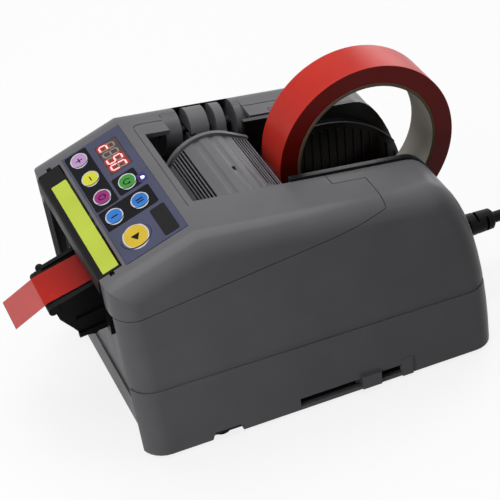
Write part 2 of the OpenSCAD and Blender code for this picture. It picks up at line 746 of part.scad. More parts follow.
// Tube swept along a list of points, with rings square to the path
function path_dir(p, i) = let (a = p[max(0, i - 1)], b = p[min(len(p) - 1, i + 1)]) (b - a) / norm(b - a);
function ring(c, d, r, n, up) = let (s = cross(d, up) / norm(cross(d, up)), t = cross(s, d))
    [for (k = [0 : n - 1]) c + r * (s * cos(360 * k / n) + t * sin(360 * k / n))];
module tube(p, r, n, up) {
    m = len(p);
    points = [for (i = [0 : m - 1]) each ring(p[i], path_dir(p, i), r, n, up)];
    sides = [for (i = [0 : m - 2], k = [0 : n - 1]) let (a = i * n + k, b = i * n + (k + 1) % n)
        each [[a, b, b + n], [a, b + n, a + n]]];
    cap0 = [for (k = [1 : n - 2]) [0, k + 1, k]];
    cap1 = [for (k = [1 : n - 2]) let (o = (m - 1) * n) [o, o + k, o + k + 1]];
    polyhedron(points, concat(sides, cap0, cap1));
}
// Least distance between stretches of a tube that are more than a few rings apart, less its diameter
function self_gap(p, d, skip) = min([for (i = [0 : len(p) - 1 - skip], j = [i + skip : len(p) - 1])
    norm(p[i] - p[j])]) - d;

// Torsion spring round the hinge pin, one leg under the cover's edge and one on the lug
spring_wire = 0.9;
spring_turns = 4;
spring_r = hinge_pin_r + 1.3;
spring_pitch = 1.1;
spring_path = concat([[spring_room[0] + 0.6, -12, -spring_r], [spring_room[0] + 0.6, -6, -spring_r]],
    [for (k = [0 : 8 * spring_turns]) [spring_room[0] + 0.6 + spring_pitch * k / 8,
        -spring_r * sin(-45 * k), -spring_r * cos(45 * k)]],
    [[spring_room[0] + 0.6 + spring_pitch * spring_turns, 5, -spring_r]]);
module hinge_spring() {
    color(steel) on_hinge() tube(spring_path, spring_wire / 2, 6, [1, 0.02, 0]);
}

module pressure_roller() {
    color("#3a3a3c") difference() {
        y_bar(press_r, arch_y[0] + 3, arch_y[1] - 3, arch_x, press_z);
        y_bar(2 + run_fit, -60, 60, arch_x, press_z);
    }
}
module pressure_shaft() {
    color(steel) y_bar(2, arch_y[0] + 0.2, arch_y[1] - 0.2, arch_x, press_z);
}

// Drive roller: soft rings on a hub, turned by a gear on the near side
module drive_roller() {
    rings = 9;
    ring_w = 4;
    reach = frame_y - 3;
    pitch = (2 * reach - ring_w) / (rings - 1);
    color("#c9c2b4") difference() {
        union() {
            y_bar(drive_r - 2, -reach, reach, drive_x, drive_z);
            for (k = [0 : rings - 1]) y_bar(drive_r, -reach + pitch * k, -reach + pitch * k + ring_w, drive_x, drive_z);
        }
        y_bar(shaft_r, -60, 60, drive_x, drive_z);
    }
}
module drive_shaft() {
    color(steel) y_bar(shaft_r, gear_y0 - 1.5, frame_y + frame_t + 4, drive_x, drive_z);
}
module gear_outline(teeth, phase) {
    pitch_r = gear_m * teeth / 2;
    tip_r = pitch_r + 0.75 * gear_m;
    root_r = pitch_r - 1.05 * gear_m;
    step = 360 / teeth;
    polygon([for (k = [0 : teeth - 1]) let (a = phase + step * k) each
        [on_circle([0, 0], root_r, a - 0.29 * step), on_circle([0, 0], tip_r, a - 0.105 * step),
            on_circle([0, 0], tip_r, a + 0.105 * step), on_circle([0, 0], root_r, a + 0.29 * step)]]);
}
module drive_gear() {
    color("#e4e0d4") difference() {
        translate([drive_x, 0, drive_z]) side_plate(gear_y0, gear_y0 + gear_w) gear_outline(gear_teeth, motor_angle);
        y_bar(shaft_r, -60, 60, drive_x, drive_z);
    }
}
pinion_bore = 1.5;
module motor_pinion() {
    color("#c8a24a") union() {
        translate([motor_x, 0, motor_z]) side_plate(gear_y0, gear_y0 + gear_w)
            gear_outline(pinion_teeth, motor_angle + 180 + 180 / pinion_teeth);
        y_bar(pinion_bore, gear_y0 + gear_w - 1, -frame_y + 3, motor_x, motor_z);
    }
}
motor_r = 12.5;
module feed_motor() {
    color("silver") difference() {
        union() {
            y_bar(motor_r, -frame_y, -frame_y + 44, motor_x, motor_z);
            y_bar(4, -frame_y + 43, -frame_y + 46, motor_x, motor_z);
        }
        y_bar(pinion_bore + run_fit, -frame_y - 1, -frame_y + 6, motor_x, motor_z);
    }
}

// Loose tape: from the roll's underside to the nip, over the drive roller and on to the cutter
web_r = drive_r + 0.1;
roll_web_r = roll_r + 0.4;
web_span = [drive_x, drive_z] - [roll_x, roll_z];
web_angle = atan2(web_span[1], web_span[0]) + acos((roll_web_r + web_r) / norm(web_span));
web_from = on_circle([roll_x, roll_z], roll_web_r, web_angle);
web_on = on_circle([drive_x, drive_z], web_r, web_angle + 180);
web_off = tangent([cut_x + 0.6, cut_z], [drive_x, drive_z], web_r, -1);
off_angle = atan2(web_off[1] - drive_z, web_off[0] - drive_x);
web_dir = (web_on - web_from) / norm(web_on - web_from);
web_up = [web_dir[1], -web_dir[0]];
wrap_steps = 8;
function web_line(x) = cut_z + (web_off[1] - cut_z) * (x - cut_x - 0.6) / (web_off[0] - cut_x - 0.6);
// Tape's lower face over the drive roller at a height above the roller
function wrap(r) = [for (k = [0 : wrap_steps])
    on_circle([drive_x, drive_z], r, web_angle + 180 + (off_angle - web_angle - 180) * k / wrap_steps)];
function turned(p) = [for (k = [len(p) - 1 : -1 : 0]) p[k]];
module tape_web() {
    start = web_from + 3 * web_dir;
    color(red_tape) side_plate(-tape_w / 2, tape_w / 2) polygon(concat([start], wrap(web_r),
        [[cut_x + 0.6, cut_z], [cut_x + 0.6, cut_z + tape_t]], turned(wrap(web_r + tape_t)),
        [start + tape_t * web_up]));
}
guide_r = 4;
guide_at = web_on - web_dir * norm(web_on - web_from) * 0.38 - web_up * (guide_r + 0.4);
module guide_roller() {
    color("#d8d8d4") difference() {
        y_bar(guide_r, -frame_y + 1, frame_y - 1, guide_at[0], guide_at[1]);
        y_bar(1.5 + run_fit, -60, 60, guide_at[0], guide_at[1]);
    }
}
module guide_shaft() {
    color(steel) y_bar(1.5, -frame_y - frame_t - 1, frame_y + frame_t + 1, guide_at[0], guide_at[1]);
}
module feed_guide() {
    x1 = drive_x - drive_r - 6;
    x0 = cut_x + blade_t;
    drop = 0.5;
    color(steel) union() {
        side_plate(-frame_y, frame_y) polygon([[x0, web_line(x0) - drop], [x1, web_line(x1) - drop],
            [x1, web_line(x1) - drop - 2], [x0 + 2, web_line(x0 + 2) - drop - 2.2],
            [x0 + 2, cut_z - 13], [x0, cut_z - 13]]);
    }
}

// Side frames: plates with the shaft holes, bent out at the foot onto the base plate
module feed_frame() {
    side_plate(frame_y, frame_y + frame_t) polygon([[frame_x0, floor_top], [frame_x1, floor_top],
        [frame_x1, guide_at[1] + 7], [drive_x + 13, drive_z + 8], [drive_x - 12, drive_z + 10],
        [frame_x0, cut_z + 2]]);
    box([frame_x0, frame_x1], [frame_y + frame_t - 0.01, frame_y + frame_t + 7], [floor_top, floor_top + frame_t]);
}
bush_r = 5;
module frame_holes() {
    y_bar(bush_r, -60, 60, drive_x, drive_z);
    y_bar(1.5, -60, 60, guide_at[0], guide_at[1]);
    side_plate(-60, 60) polygon([[frame_x0 + 9, floor_top + 14], [frame_x0 + 34, floor_top + 14],
        [frame_x0 + 34, cut_z - 22], [frame_x0 + 9, cut_z - 30]]);
}
module frame_near() {
    color(steel) difference() {
        mirror([0, 1, 0]) feed_frame();
        frame_holes();
        y_bar(pinion_bore + 1.5, -60, 0, motor_x, motor_z);
    }
}
module frame_far() {
    color(steel) difference() {
        feed_frame();
        frame_holes();
    }
}
module shaft_bushes() {
    color("#b8954a") both_sides() difference() {
        union() {
            y_bar(bush_r, frame_y, frame_y + frame_t, drive_x, drive_z);
            y_bar(bush_r + 1.5, frame_y + frame_t, frame_y + frame_t + 1.2, drive_x, drive_z);
        }
        y_bar(shaft_r + run_fit, -60, 60, drive_x, drive_z);
    }
}

// Ribbed side plates of the well; their rims follow the shoulders below the housing's own edge
plate_x0 = arch_x + 24;
plate_x1 = rear_at(sill_h) - wall - 0.6;
rim_r = 57.8;
rim_c = [roll_x - 14, roll_z - 58.8];
plate_front_z = sqrt(rim_r * rim_r - pow(plate_x0 - rim_c[0], 2)) + rim_c[1];
// Space for the well's side plates: inside the rear wall below the sill, and out to the shoulder above it
module well_outline(rise) {
    intersection() {
        union() {
            offset(delta = -wall - 0.7) housing_outline();
            intersection() {
                translate([-0.4, rise]) housing_outline();
                translate([plate_x0, sill_h + 0.5]) square([big, big]);
            }
        }
        polygon([[plate_x0, plate_front_z + 60], [plate_x0, plate_front_z - 6], [plate_x0 + 16, floor_z + 18],
            [plate_x0 + 16, floor_z], [big, floor_z], [big, plate_front_z + 60]]);
    }
}
module plate_outline() {
    intersection() {
        translate(rim_c) circle(r = rim_r, $fn = 96);
        well_outline(0);
    }
}
rim_rise = 1.6;
skin_y = slot_half - 3.4;
idle_x = [roll_x - idle_reach * sin(idle_angle), roll_x + idle_reach * sin(idle_angle)];
idle_z = roll_z - idle_reach * cos(idle_angle);
module well_plate() {
    ribs = 17;
    rib_pitch = (plate_x1 - plate_x0 - 4) / ribs;
    rim_w = 2.2;
    difference() {
        union() {
            side_plate(plate_inner, plate_inner + plate_t) plate_outline();
            side_plate(plate_inner + plate_t - 0.5, skin_y + 1) difference() {
                plate_outline();
                translate(rim_c) circle(r = rim_r - rim_w, $fn = 96);
                translate([plate_x0 - 1, 0]) square([big, floor_z + 2]);
            }
            side_plate(skin_y, slot_half - slide_fit) well_outline(rim_rise);
            side_plate(plate_inner - 1, plate_inner + 1) intersection() {
                plate_outline();
                translate(rim_c) circle(r = rim_r - 3.5, $fn = 96);
                for (k = [0 : ribs]) translate([plate_x0 + 2 + rib_pitch * k, floor_z + 12]) square([1.2, 80]);
            }
        }
        for (x = idle_x) y_bar(idle_shaft_r, 0, 60, x, idle_z);
    }
}
module near_side_plate() { color(black) mirror([0, 1, 0]) well_plate(); }
module far_side_plate() { color(black) well_plate(); }
module well_floor() {
    x0 = plate_x0 + 14;
    x1 = rear_at(floor_z + 6) - wall - 0.8;
    lip = 6;
    color(black) union() {
        box([x0, x1], [-slot_half + slide_fit, slot_half - slide_fit], [floor_z - floor_t, floor_z]);
        box([x1 - 2, x1], [-plate_inner + 2, plate_inner - 2], [floor_z - 0.5, floor_z + lip]);
    }
}
module idle_roller(x) {
    color("#2c2c2e") difference() {
        union() {
            y_bar(idle_r - 0.6, -plate_inner + 1.6, plate_inner - 1.6, x, idle_z);
            for (y = [-18, -6, 6]) y_bar(idle_r, y, y + 12, x, idle_z);
        }
        y_bar(idle_shaft_r + run_fit, -60, 60, x, idle_z);
    }
}
module idle_roller_front() { idle_roller(idle_x[0]); }
module idle_roller_rear() { idle_roller(idle_x[1]); }
module idle_axles() {
    color(steel) for (x = idle_x) y_bar(idle_shaft_r, -plate_inner - plate_t - 1, plate_inner + plate_t + 1, x, idle_z);
}
module tape_roll() {
    color(red_tape) difference() {
        y_bar(roll_r, -tape_w / 2, tape_w / 2, roll_x, roll_z, $fn = 128);
        y_bar(core_r + core_wall, -60, 60, roll_x, roll_z, $fn = 128);
    }
}
module roll_core() {
    color("#cfc6ae") difference() {
        y_bar(core_r + core_wall, -tape_w / 2, tape_w / 2, roll_x, roll_z, $fn = 128);
        y_bar(core_r, -60, 60, roll_x, roll_z, $fn = 128);
    }
}

// Power side: board on pillars and a transformer on the base plate
board_x = [rear_x - 82.5, rear_in - 12];
board_y = [-half_w + 12, 24];
power_z = floor_top + 5;
module main_board() {
    color(pcb_green) union() {
        box(board_x, board_y, [power_z, power_z + 1.6]);
        for (x = [board_x[0] + 4, board_x[1] - 4], y = [board_y[0] + 4, board_y[1] - 4])
            translate([x, y, floor_top]) cylinder(r = 2.5, h = 5.2);
        for (k = [0 : 2]) translate([board_x[0] + 18 + 14 * k, board_y[0] + 14, power_z]) cylinder(r = 5, h = 18);
        box([board_x[0] + 30, board_x[0] + 33], [-28, 8], [power_z, power_z + 24]);
        for (k = [0 : 3]) box([board_x[0] + 8 + 5 * k, board_x[0] + 11 + 5 * k], [-8, 14], [power_z, power_z + 7]);
    }
}
module transformer() {
    x = [board_x[0] + 8, board_x[0] + 52];
    y = [slot_half + 4, half_w - wall - 3];
    color("#6b5a48") union() {
        box(x, y, [floor_top, floor_top + 36]);
        box([x[0] - 6, x[1] + 6], [y[0] + 5, y[1] - 5], [floor_top + 7, floor_top + 29]);
        box([x[0] - 8, x[1] + 8], [y[0] + 3, y[1] - 3], [floor_top, floor_top + 1.5]);
    }
}

// Rear wall fittings: rocker switch and the lead's strain relief
module switch_body() {
    color(black) difference() {
        union() {
            box([switch_x - 17, switch_x], [switch_y - 6.3, switch_y + 6.3], [switch_z - 9.4, switch_z + 9.4]);
            box([switch_x, switch_x + 1.4], [switch_y - 7.6, switch_y + 7.6], [switch_z - 10.8, switch_z + 10.8]);
        }
        box([switch_x - 8, switch_x + 2], [switch_y - 4.8, switch_y + 4.8], [switch_z - 8.2, switch_z + 8.2]);
    }
}
module switch_rocker() {
    pivot_x = switch_x - 3;
    color("#2a2a2c") union() {
        side_plate(switch_y - 4.5, switch_y + 4.5) polygon([[pivot_x - 1, switch_z - 6.6],
            [pivot_x + 3.2, switch_z - 7.2], [pivot_x + 4.2, switch_z - 6.8], [pivot_x + 3.4, switch_z],
            [pivot_x + 4.2, switch_z + 6.8], [pivot_x + 3.2, switch_z + 7.2], [pivot_x - 1, switch_z + 6.6]]);
        y_bar(2, switch_y - 4.75, switch_y + 4.75, pivot_x, switch_z);
    }
}
slider_at = front_x + 126;
module side_slider() {
    color("#4a4a4d") union() {
        box([slider_at - 5.5, slider_at + 5.5], [-half_w - 2.4, -half_w - 0.2], [slider_z[0] - 0.8, slider_z[1] + 2]);
        box([slider_at - 5, slider_at + 5], [-half_w - 0.3, -half_w + wall + 0.3], [slider_z[0] + 0.2, slider_z[1] - 0.2]);
        box([slider_at - 7, slider_at + 7], [-half_w + wall + 0.2, -half_w + wall + 2], [slider_z[0] + 0.4, slider_z[1] + 3]);
    }
}

gland_end = rear_x + 28.8;
gland_wall = wall + pad_h + 0.6;
module strain_relief() {
    slits = 4;
    pitch = 5.6;
    slit_w = 1.5;
    root_r = 6.9;
    end_r = 5.9;
    neck = gland_wall + 2 + slide_fit;
    tip = gland_end - gland_x + gland_wall + 2;
    color(black) translate([gland_x - gland_wall - 2, gland_y, gland_z]) difference() {
        rotate([0, 90, 0]) rotate_extrude()
            polygon([[0, -2], [gland_r + 0.8, -2], [gland_r + 1, 2 - slide_fit], [gland_r - slide_fit, 2 - slide_fit],
                [gland_r - slide_fit, neck], [7.6, neck], [7.6, neck + 2.1], [root_r, neck + 2.6],
                [end_r, tip - 1], [end_r - 1, tip], [0, tip]]);
        for (k = [0 : slits - 1]) translate([tip - 4.2 - slit_w - pitch * k, 0, 0]) rotate([90 * (k % 2), 0, 0])
            both_sides() box([0, slit_w], [cord_d / 2 + 0.2, 10], [-10, 10]);
    }
}

// Mains lead: free stretch from the strain relief down to the table, then a coil of two layers
cord_route = [[gland_end, gland_y, gland_z], [157, -10, 38], [163, -10, 37.6], [169, -10, 36.4], [175, -10, 34.2],
    [180.5, -10, 31], [185.5, -10, 26.8], [190, -10, 21.8], [194.5, -10, 16.6], [199, -10, 12.4],
    [204, -10, 9], [209.5, -10, 6.6], [215.5, -10, 5.2], [222, -10, 4.6], [229, -10, 4.6],
    [236.5, -10, 4.6]];
coil_turns = 2.75;
coil_pitch = 8;
coil_layer = 7.2;
coil_in = 27;
coil_out = coil_in + coil_turns * coil_pitch;
cord_last = cord_route[len(cord_route) - 1];
coil_c = cord_last + [cord_d, coil_out, 0];
coil_steps = 24;
coil_lead = 38;
function coil_point(u) = let (t = coil_turns,
    r = u < t ? coil_out - coil_pitch * u : u < t + 0.5 ? coil_in : coil_in + coil_pitch * (u - t - 0.5),
    z = coil_layer * min(1, max(0, (u - t) / 0.5)), a = 360 * u - 90)
    coil_c + [r * cos(a), r * sin(a), z];
coil_path = concat([cord_last], [for (k = [0 : coil_steps * (2 * coil_turns + 0.5)]) coil_point(k / coil_steps)],
    [for (x = [1 : 4]) coil_point(2 * coil_turns + 0.5) + [coil_lead * x / 4, 0, 0]]);
module cord() { color(black) tube(cord_route, cord_d / 2, 10, [0, 1, 0]); }
module cord_coil() {
    echo(coil_gap = self_gap(coil_path, cord_d, coil_steps / 2));
    color(black) tube(coil_path, cord_d / 2, 6, [0, 0, 1]);
}
module coil_tie() {
    tie_t = 1;
    half = 4;
    r0 = coil_in - cord_d / 2 - 0.6;
    r1 = coil_out + cord_d / 2 + 0.6;
    z1 = coil_c[2] + coil_layer + cord_d / 2 + 0.5;
    color("#2b2b2b") difference() {
        translate([coil_c[0], coil_c[1], 0]) box([-half, half], [r0 - tie_t, r1 + tie_t], [0.1, z1 + tie_t]);
        translate([coil_c[0], coil_c[1], 0]) box([-half - 1, half + 1], [r0, r1], [0.1 + tie_t, z1]);
    }
}
plug_at = coil_path[len(coil_path) - 1];
module plug() {
    grip_r = plug_at[2] - 0.4;
    color(black) translate(plug_at) rotate([0, 90, 0]) union() {
        rotate_extrude() polygon([[0, 0], [4.4, 0], [5.2, 9], [grip_r - 1.5, 14], [grip_r, 22], [grip_r - 1.4, 30],
            [grip_r, 38], [grip_r, 41], [0, 41]]);
    }
}
module plug_pins() {
    color("#c8a24a") translate(plug_at) for (y = [-6.35, 6.35])
        box([41, 58], [y - 0.75, y + 0.75], [-3.2, 3.2]);
}

top_cover();
lower_body();
base_plate();
feet();
base_screws();
front_apron();
overlay();
display_window();
key_plus();
key_minus();
key_mode();
key_memory_front();
key_auto();
key_memory_rear();
key_start();
indicator_led();
control_board();
front_guard();
outlet_tray();
tape_tail();
fixed_blade();
moving_blade();
cutter_crank();
cutter_motor();
feed_cover();
hinge_pin();
hinge_spring();
pressure_roller();
pressure_shaft();
drive_roller();
drive_shaft();
drive_gear();
motor_pinion();
feed_motor();
guide_roller();
guide_shaft();
feed_guide();
frame_near();
frame_far();
shaft_bushes();
near_side_plate();
far_side_plate();
well_floor();
idle_roller_front();
idle_roller_rear();
idle_axles();
tape_roll();
roll_core();
tape_web();
main_board();
transformer();
switch_body();
switch_rocker();
side_slider();
strain_relief();
cord();
cord_coil();
coil_tie();
plug();
plug_pins();
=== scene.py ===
"""Dresses the electric tape dispenser: camera, mains lead, finishes, panel print and studio light."""

import json
import logging
import math
from dataclasses import dataclass
from enum import Enum
from operator import attrgetter
from typing import Any, Callable, ClassVar, Sequence

import bmesh
import bpy
from mathutils import Matrix, Vector


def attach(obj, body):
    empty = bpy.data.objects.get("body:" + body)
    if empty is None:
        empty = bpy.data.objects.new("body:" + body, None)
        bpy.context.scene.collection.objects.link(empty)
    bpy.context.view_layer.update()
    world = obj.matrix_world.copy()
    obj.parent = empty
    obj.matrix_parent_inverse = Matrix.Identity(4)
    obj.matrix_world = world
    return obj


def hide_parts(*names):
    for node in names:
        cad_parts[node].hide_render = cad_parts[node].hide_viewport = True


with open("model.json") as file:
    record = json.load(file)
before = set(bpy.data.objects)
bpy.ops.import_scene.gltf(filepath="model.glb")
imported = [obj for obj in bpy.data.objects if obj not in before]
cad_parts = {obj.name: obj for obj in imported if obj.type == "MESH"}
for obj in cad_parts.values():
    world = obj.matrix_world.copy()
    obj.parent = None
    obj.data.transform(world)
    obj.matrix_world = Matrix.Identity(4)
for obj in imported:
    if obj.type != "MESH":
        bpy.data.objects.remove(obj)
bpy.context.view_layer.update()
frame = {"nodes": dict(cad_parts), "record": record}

LOG = logging.getLogger("tape_dispenser")
MM = 0.001
# Points nearer than this are one, in mm; faces that meet at less than this are one, and edges sharper than
# this are eased, in degrees.
WELD_GAP = 0.002
FLAT_ANGLE = 0.4
SHARP_ANGLE = 34.0

Point2 = tuple[float, float]
Point3 = tuple[float, float, float]
Box2 = tuple[float, float, float, float]
Tree = bpy.types.NodeTree
Socket = bpy.types.NodeSocket

MATH = "ShaderNodeMath"
VECTOR_MATH = "ShaderNodeVectorMath"
MAP_RANGE = "ShaderNodeMapRange"
NOISE = "ShaderNodeTexNoise"
MIX = "ShaderNodeMix"
COORDINATES = "ShaderNodeTexCoord"
RGBA = {"data_type": "RGBA"}
WHITE = (1.0, 1.0, 1.0, 1.0)


def linear(hex_colour: str) -> tuple[float, float, float, float]:
    """Turns an sRGB hex colour into the linear RGBA that a shader socket takes.

    Args:
        hex_colour: Colour such as "#5c5c5e".

    Returns:
        Linear red, green, blue and an alpha of 1.
    """
    digits = hex_colour.lstrip("#")
    levels = [int(digits[i : i + 2], 16) / 255 for i in (0, 2, 4)]
    red, green, blue = [v / 12.92 if v <= 0.04045 else ((v + 0.055) / 1.055) ** 2.4 for v in levels]
    return (red, green, blue, 1.0)


def polar(centre: Point2, reach: float, turn: float) -> Point2:
    """Returns the point at a reach and an angle in radians from a middle."""
    return (centre[0] + reach * math.cos(turn), centre[1] + reach * math.sin(turn))


def add_node(
    tree: Tree,
    kind: str,
    settings: dict[str, Any] | None = None,
    inputs: dict[str | int, Any] | None = None,
) -> bpy.types.Node:
    """Adds one node to a tree, sets it up and links it.

    Args:
        tree: Node tree that takes the node.
        kind: Blender's type name of the node.
        settings: Properties of the node by name.
        inputs: Values by socket name or number; a socket given as a value is linked.

    Returns:
        The new node.
    """
    node = tree.nodes.new(kind)
    for key, value in (settings or {}).items():
        setattr(node, key, value)
    for key, value in (inputs or {}).items():
        if isinstance(value, Socket):
            tree.links.new(value, node.inputs[key])
        else:
            node.inputs[key].default_value = value
    return node


def add_object(name: str, data: bpy.types.ID) -> bpy.types.Object:
    """Puts a new object into the scene.

    Args:
        name: Name of the object.
        data: Its mesh, curve, camera or light.

    Returns:
        The object.
    """
    made = bpy.data.objects.new(name, data)
    bpy.context.scene.collection.objects.link(made)
    return made


def add_prism(form: bmesh.types.BMesh, tops: Sequence[Vector], feet: Sequence[Vector]) -> None:
    """Adds a closed prism between two outlines.

    Args:
        form: Mesh under construction that takes it.
        tops: Points of one outline, in metres.
        feet: The same number of points of the other one, in metres.
    """
    top, foot = ([form.verts.new(point) for point in outline] for outline in (tops, feet))
    form.faces.new(top)
    form.faces.new(list(reversed(foot)))
    for i in range(len(top)):
        j = (i + 1) % len(top)
        form.faces.new((top[i], foot[i], foot[j], top[j]))


def make_piece(name: str, form: bmesh.types.BMesh) -> bpy.types.Object:
    """Turns a mesh under construction into a piece of the scene.

    Args:
        name: Name of the piece.
        form: Mesh under construction, which is used up.

    Returns:
        The piece.
    """
    bmesh.ops.recalc_face_normals(form, faces=form.faces)
    mesh = bpy.data.meshes.new(name)
    form.to_mesh(mesh)
    form.free()
    return add_object(name, mesh)


def make_rod(name: str, points: Sequence[Vector], diameter: float, resolution: int) -> bpy.types.Object:
    """Builds a round rod or cable as one open curve with closed ends.

    Args:
        name: Name of the piece.
        points: Points that it follows, in metres.
        diameter: Its diameter, in mm.
        resolution: Blender's bevel resolution of its round.

    Returns:
        The curve object.
    """
    curve = bpy.data.curves.new(name, "CURVE")
    curve.dimensions = "3D"
    curve.bevel_depth = diameter / 2 * MM
    curve.bevel_resolution = resolution
    curve.use_fill_caps = True
    line = curve.splines.new("POLY")
    line.points.add(len(points) - 1)
    for target, point in zip(line.points, points):
        target.co = (*point, 1.0)
    line.use_smooth = True
    return add_object(name, curve)


@dataclass(frozen=True)
class Finish:
    """One real material and the way its surface was made.

    Attributes:
        name: Common name of the material and how it was made.
        colour: Main colour, sRGB hex.
        shade: Colour that the main one drifts to in soft clouds, sRGB hex.
        roughness: Mean roughness.
        spread: How far the roughness wanders to either side.
        ior: Index of refraction; metals keep the default.
        grain: Size of the surface marks along X, Y and Z, in mm.
        relief: Height of those marks, in mm.
        metallic: 1 for bare metal.
        drift: Size of the soft clouds of colour and gloss, in mm.
        specular: Share of the usual reflection that the surface's fine pores leave, 0.5 being the usual.
        coat: Weight of a clear layer on top.
        coat_roughness: Roughness of that layer.
    """

    name: str
    colour: str
    shade: str
    roughness: float
    spread: float = 0.06
    ior: float = 1.5
    grain: Point3 = (1.4, 1.4, 1.4)
    relief: float = 0.012
    metallic: float = 0.0
    drift: float = 26.0
    specular: float = 0.3
    coat: float = 0.0
    coat_roughness: float = 0.1

    made: ClassVar[dict[str, bpy.types.Material]] = {}
    # Parts of the noise's range that the clouds of colour and of gloss are drawn from.
    colour_span: ClassVar[Point2] = (0.3, 0.7)
    gloss_span: ClassVar[Point2] = (0.25, 0.75)
    gloss_drift: ClassVar[float] = 0.6

    def material(self) -> bpy.types.Material:
        """Returns the material, made on the first call."""
        return Finish.made.get(self.name) or Finish.made.setdefault(self.name, self.make())

    def marks(self, tree: Tree, place: Socket, size: Point3, detail: float = 3.0) -> Socket:
        """Adds a field of uneven marks of a real size.

        Args:
            tree: Node tree that takes the nodes.
            place: Object coordinates, in metres.
            size: Size of one mark along X, Y and Z, in mm.
            detail: Octaves of finer detail.

        Returns:
            Height of the marks, from 0 to 1.
        """
        scale = tuple(1.0 / (MM * s) for s in size)
        sized = add_node(tree, VECTOR_MATH, {"operation": "MULTIPLY"}, {0: place, 1: scale})
        field = {"Vector": sized.outputs[0], "Scale": 1.0, "Detail": detail, "Roughness": 0.55}
        return add_node(tree, NOISE, None, field).outputs["Fac"]

    def colour_of(self, tree: Tree, place: Socket) -> Socket:
        """Mixes the main colour with its shade in soft clouds.

        Args:
            tree: Node tree that takes the nodes.
            place: Object coordinates, in metres.

        Returns:
            Colour socket for the shader.
        """
        cloud = self.marks(tree, place, (self.drift,) * 3, 2.0)
        low, high = self.colour_span
        even = add_node(tree, MAP_RANGE, None, {"Value": cloud, "From Min": low, "From Max": high})
        colours = {"Factor": even.outputs[0], 6: linear(self.colour), 7: linear(self.shade)}
        return add_node(tree, MIX, RGBA, colours).outputs[2]

    def height_of(self, tree: Tree, place: Socket) -> Socket:
        """Returns the height of the surface marks, from 0 to 1."""
        return self.marks(tree, place, self.grain)

    def constants(self) -> dict[str, Any]:
        """Lists what is the same all over the surface.

        Returns:
            Values by the name of the shader's socket.
        """
        values = {"Metallic": self.metallic, "Coat Weight": self.coat, "Coat Roughness": self.coat_roughness}
        if self.metallic < 0.5:
            values |= {"IOR": self.ior, "Specular IOR Level": self.specular}
        return values

    def make(self) -> bpy.types.Material:
        """Builds the node material.

        Returns:
            The new material.
        """
        made = bpy.data.materials.new(self.name)
        made.use_nodes = True
        tree = made.node_tree
        shader = tree.nodes["Principled BSDF"]
        place = add_node(tree, COORDINATES).outputs["Object"]
        gloss = {
            "Value": self.marks(tree, place, (self.drift * self.gloss_drift,) * 3, 4.0),
            "From Min": self.gloss_span[0],
            "From Max": self.gloss_span[1],
            "To Min": max(0.02, self.roughness - self.spread),
            "To Max": min(1.0, self.roughness + self.spread),
        }
        bump = {"Strength": 1.0, "Distance": self.relief * MM, "Height": self.height_of(tree, place)}
        links = {
            "Base Color": self.colour_of(tree, place),
            "Roughness": add_node(tree, MAP_RANGE, None, gloss).outputs[0],
            "Normal": add_node(tree, "ShaderNodeBump", None, bump).outputs[0],
        }
        for name, socket in links.items():
            tree.links.new(socket, shader.inputs[name])
        for name, value in self.constants().items():
            shader.inputs[name].default_value = value
        return made


@dataclass(frozen=True)
class LitFinish(Finish):
    """A finish that gives light of its own.

    Attributes:
        glow: Colour of the light, sRGB hex.
        strength: Strength of the light.
    """

    glow: str = "#ffffff"
    strength: float = 1.0

    def constants(self) -> dict[str, Any]:
        """Adds the glow to what is the same all over."""
        glow = {"Emission Color": linear(self.glow), "Emission Strength": self.strength}
        return Finish.constants(self) | glow


@dataclass(frozen=True)
class ThinFilm(Finish):
    """Thin coloured film that lets part of the light through.

    Attributes:
        cover: How much one face hides of what lies behind it, from 0 to 1.
    """

    cover: float = 0.70

    def constants(self) -> dict[str, Any]:
        """Adds the see-through share to what is the same all over."""
        return Finish.constants(self) | {"Alpha": self.cover}


